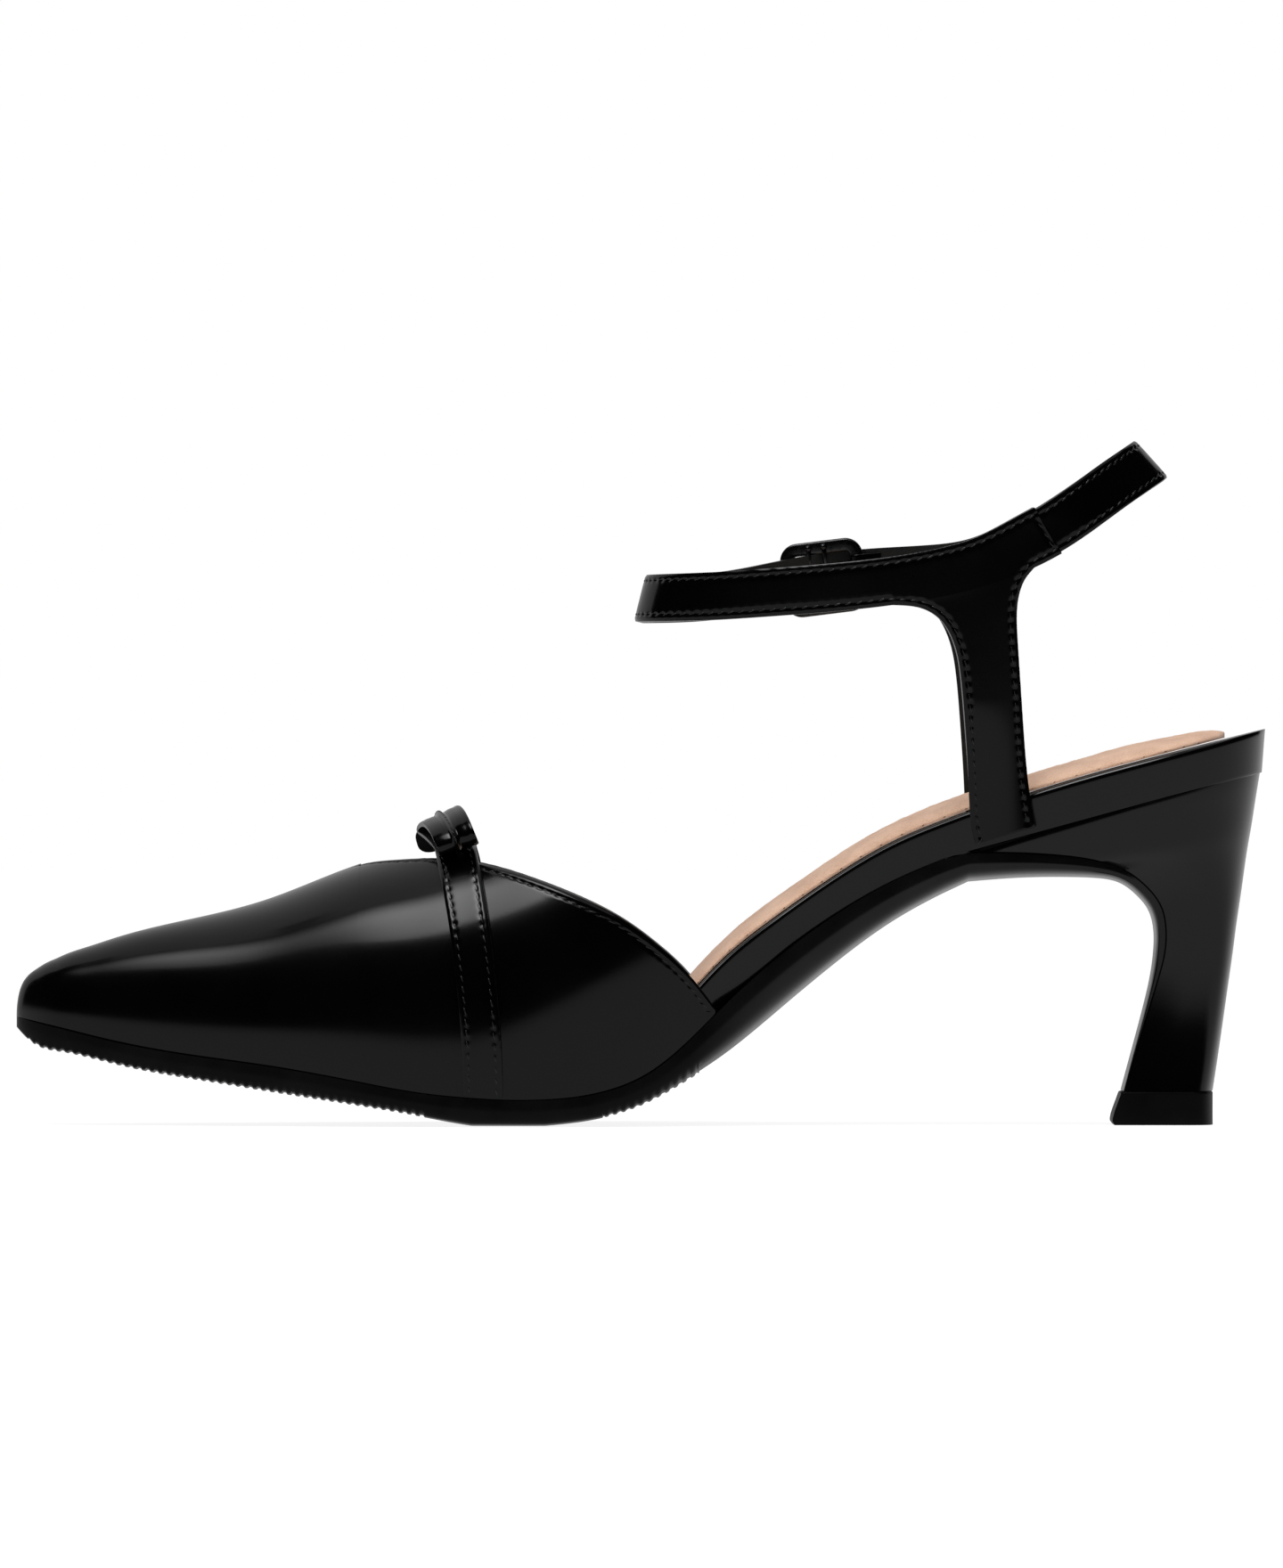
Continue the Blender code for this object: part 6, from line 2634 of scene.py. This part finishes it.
@dataclass
class Studio:
    """Pale floor, soft light and the camera."""

    eye: tuple[float, float, float] = (0.0001, -4.0, 0.0676)
    view_width: float = 0.25487
    picture: tuple[int, int] = (1440, 1760)
    sensor: float = 36.0
    far: float = 60.0
    floor_half: float = 12.0
    floor_tone: tuple[float, float, float, float] = (0.22, 0.22, 0.22, 1.0)
    floor_glow: float = 0.88
    backdrop_share: float = 1.3
    sky: float = 0.47
    sheen: float = 0.56
    card_radius: float = 1000.0
    card_turn: tuple[float, float] = (-114.0, 140.0)
    card_fade: tuple[float, float] = (25.0, 105.0)
    card_top: float = 1720.0
    card_tone: tuple[float, float, float, float] = (0.002, 0.002, 0.002, 1.0)
    card_steps: tuple[int, int] = (72, 4)
    panel_up: float = 1250.0
    panel_left: tuple[float, float] = (-1000.0, -250.0)
    panel_right: tuple[float, float] = (60.0, -300.0)
    panel_near: tuple[float, float] = (-830.0, -660.0)
    panel_far: tuple[float, float] = (120.0, -200.0)
    panel_glow: float = 9.0
    fill_power: float = 16.0
    fill_size: float = 1.2
    fill_place: tuple[float, float, float] = (0.0, -0.4, 1.3)
    fill_tilt: float = -17.0
    white: tuple[float, float, float, float] = (1.0, 1.0, 1.0, 1.0)
    black: tuple[float, float, float, float] = (0.0, 0.0, 0.0, 1.0)
    unseen: tuple[str, ...] = ("camera", "shadow", "diffuse")

    def build(self) -> None:
        """Builds the camera, the floor, the backdrop and the lights."""
        self.set_camera()
        self.lay_floor()
        self.hang_backdrop()
        self.light()
        bpy.context.scene.view_settings.view_transform = "Standard"

    def set_camera(self) -> None:
        """Long lens, level, looking across the shoe at its inner side."""
        data = bpy.data.cameras.new("camera")
        data.sensor_width = self.sensor
        wide, tall = self.picture
        data.lens = self.sensor * -self.eye[1] / (self.view_width * tall / wide)
        data.clip_end = self.far
        camera = bpy.data.objects.new("camera", data)
        camera.location = self.eye
        camera.rotation_euler = (math.pi / 2, 0.0, 0.0)
        bpy.context.scene.collection.objects.link(camera)
        bpy.context.scene.camera = camera

    def add_prop(self, mesh: bmesh.types.BMesh, tree: Tree, hidden_from: Sequence[str]) -> None:
        """Adds a thing of the studio.

        Args:
            mesh: its mesh, which is used up.
            tree: its material, which also names it.
            hidden_from: kinds of rays that pass through it.
        """
        data = bpy.data.meshes.new(tree.material.name)
        mesh.to_mesh(data)
        mesh.free()
        data.materials.append(tree.material)
        prop = bpy.data.objects.new(tree.material.name, data)
        for kind in hidden_from:
            setattr(prop, f"visible_{kind}", False)
        bpy.context.scene.collection.objects.link(prop)

    def glowing(self, name: str, strength: float) -> Tree:
        """Material that only glows.

        Args:
            name: name of the material.
            strength: strength of the glow.

        Returns:
            Its tree.
        """
        tree = Tree(name)
        tree.finish(base_color=self.black, specular_level=0.0, emission_strength=strength)
        return tree

    def lay_floor(self) -> None:
        """White floor, and under it the paler sheen that polished leather shows of it."""
        tree = Tree("floor_white")
        tree.finish(
            base_color=self.floor_tone,
            roughness=0.8,
            specular_level=0.1,
            emission_color=self.white,
            emission_strength=self.floor_glow,
        )
        mesh = bmesh.new()
        bmesh.ops.create_grid(mesh, x_segments=2, y_segments=2, size=self.floor_half)
        self.add_prop(mesh, tree, ["glossy"])
        mesh = bmesh.new()
        under = Matrix.Translation((0.0, 0.0, -MM))
        bmesh.ops.create_grid(mesh, x_segments=2, y_segments=2, size=self.floor_half, matrix=under)
        self.add_prop(mesh, self.glowing("floor_sheen", self.sheen), self.unseen)

    def hang_backdrop(self) -> None:
        """White backdrop all round."""
        mesh = bmesh.new()
        radius = self.floor_half * self.backdrop_share
        bmesh.ops.create_uvsphere(mesh, u_segments=32, v_segments=16, radius=radius)
        self.add_prop(mesh, self.glowing("backdrop_white", 1.0), ["glossy", "shadow", "diffuse"])

    def light(self) -> None:
        """Pale surround, a dark card on the camera's side and a soft light panel over the shoe."""
        world = bpy.data.worlds.new("surround")
        world.use_nodes = True
        sky = world.node_tree.nodes["Background"]
        sky.inputs["Color"].default_value = self.white
        sky.inputs["Strength"].default_value = self.sky
        bpy.context.scene.world = world
        self.hang_card()
        self.hang_panel()
        self.add_fill()

    def hang_card(self) -> None:
        """Dark curved card between the floor and the light, which keeps the near side deep black."""
        tree = Tree("card_black")
        shade = tree.ease(tree.axis("Z"), *(edge * MM for edge in self.card_fade))
        tree.finish(base_color=self.card_tone, roughness=1.0, specular_level=0.0, alpha=shade)

        def point(turn: float, up: float) -> Vector:
            """Point of the card, in the shoe's millimetres."""
            away = self.card_radius
            return Vector((MIDDLE_ALONG + away * math.sin(turn), -away * math.cos(turn), up))

        mesh = bmesh.new()
        round_steps, up_steps = self.card_steps
        turns = even(*(math.radians(turn) for turn in self.card_turn), round_steps)
        lay_grid(mesh, turns, even(self.card_fade[0], self.card_top, up_steps), point)
        self.add_prop(mesh, tree, self.unseen)

    def hang_panel(self) -> None:
        """Level light panel that fades towards its edges."""
        tree = self.glowing("panel_white", self.panel_glow)
        glow = tree.ease(tree.axis("X"), *(edge * MM for edge in self.panel_left))
        for axis, fade in (("X", self.panel_right), ("Y", self.panel_near), ("Y", self.panel_far)):
            glow = glow * tree.ease(tree.axis(axis), *(edge * MM for edge in fade))
        tree.finish(emission_color=glow)
        mesh = bmesh.new()
        across = even(self.panel_left[0], self.panel_right[0], 2)
        depth = even(self.panel_near[0], self.panel_far[0], 2)
        bmesh.ops.create_grid(mesh, x_segments=2, y_segments=2, size=1.0)
        for vert in mesh.verts:
            column, row = round(vert.co.x + 1), round(vert.co.y + 1)
            vert.co = Vector((across[column], depth[row], self.panel_up)) * MM
        self.add_prop(mesh, tree, self.unseen)

    def add_fill(self) -> None:
        """Soft fill from above for the matt pieces."""
        data = bpy.data.lights.new("fill", "AREA")
        data.size = self.fill_size
        data.energy = self.fill_power
        fill = bpy.data.objects.new("fill", data)
        fill.location = self.fill_place
        fill.rotation_euler = (math.radians(self.fill_tilt), 0.0, 0.0)
        fill.visible_glossy = False
        bpy.context.scene.collection.objects.link(fill)


def main() -> None:
    """Builds the shoe piece by piece, then the studio."""
    logging.basicConfig(level=logging.INFO, format="%(message)s")
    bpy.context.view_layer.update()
    last = Last()
    ring = AnkleRing()
    finishes = Finishes()
    heel = HeelForm(last)
    heel.build(finishes)
    SoleForm(last, heel).build(finishes)
    footbed = Footbed(last)
    footbed.build_rim(finishes)
    footbed.build_sock(finishes)
    Vamp(last).build(finishes)
    band = InstepBand(last)
    band.build(finishes)
    Bow(last, band).build(finishes)
    straps = AnkleStraps(last, ring)
    straps.build(finishes)
    Buckle(ring, straps).build(finishes)
    Studio().build()


if __name__ == "__main__":
    main()
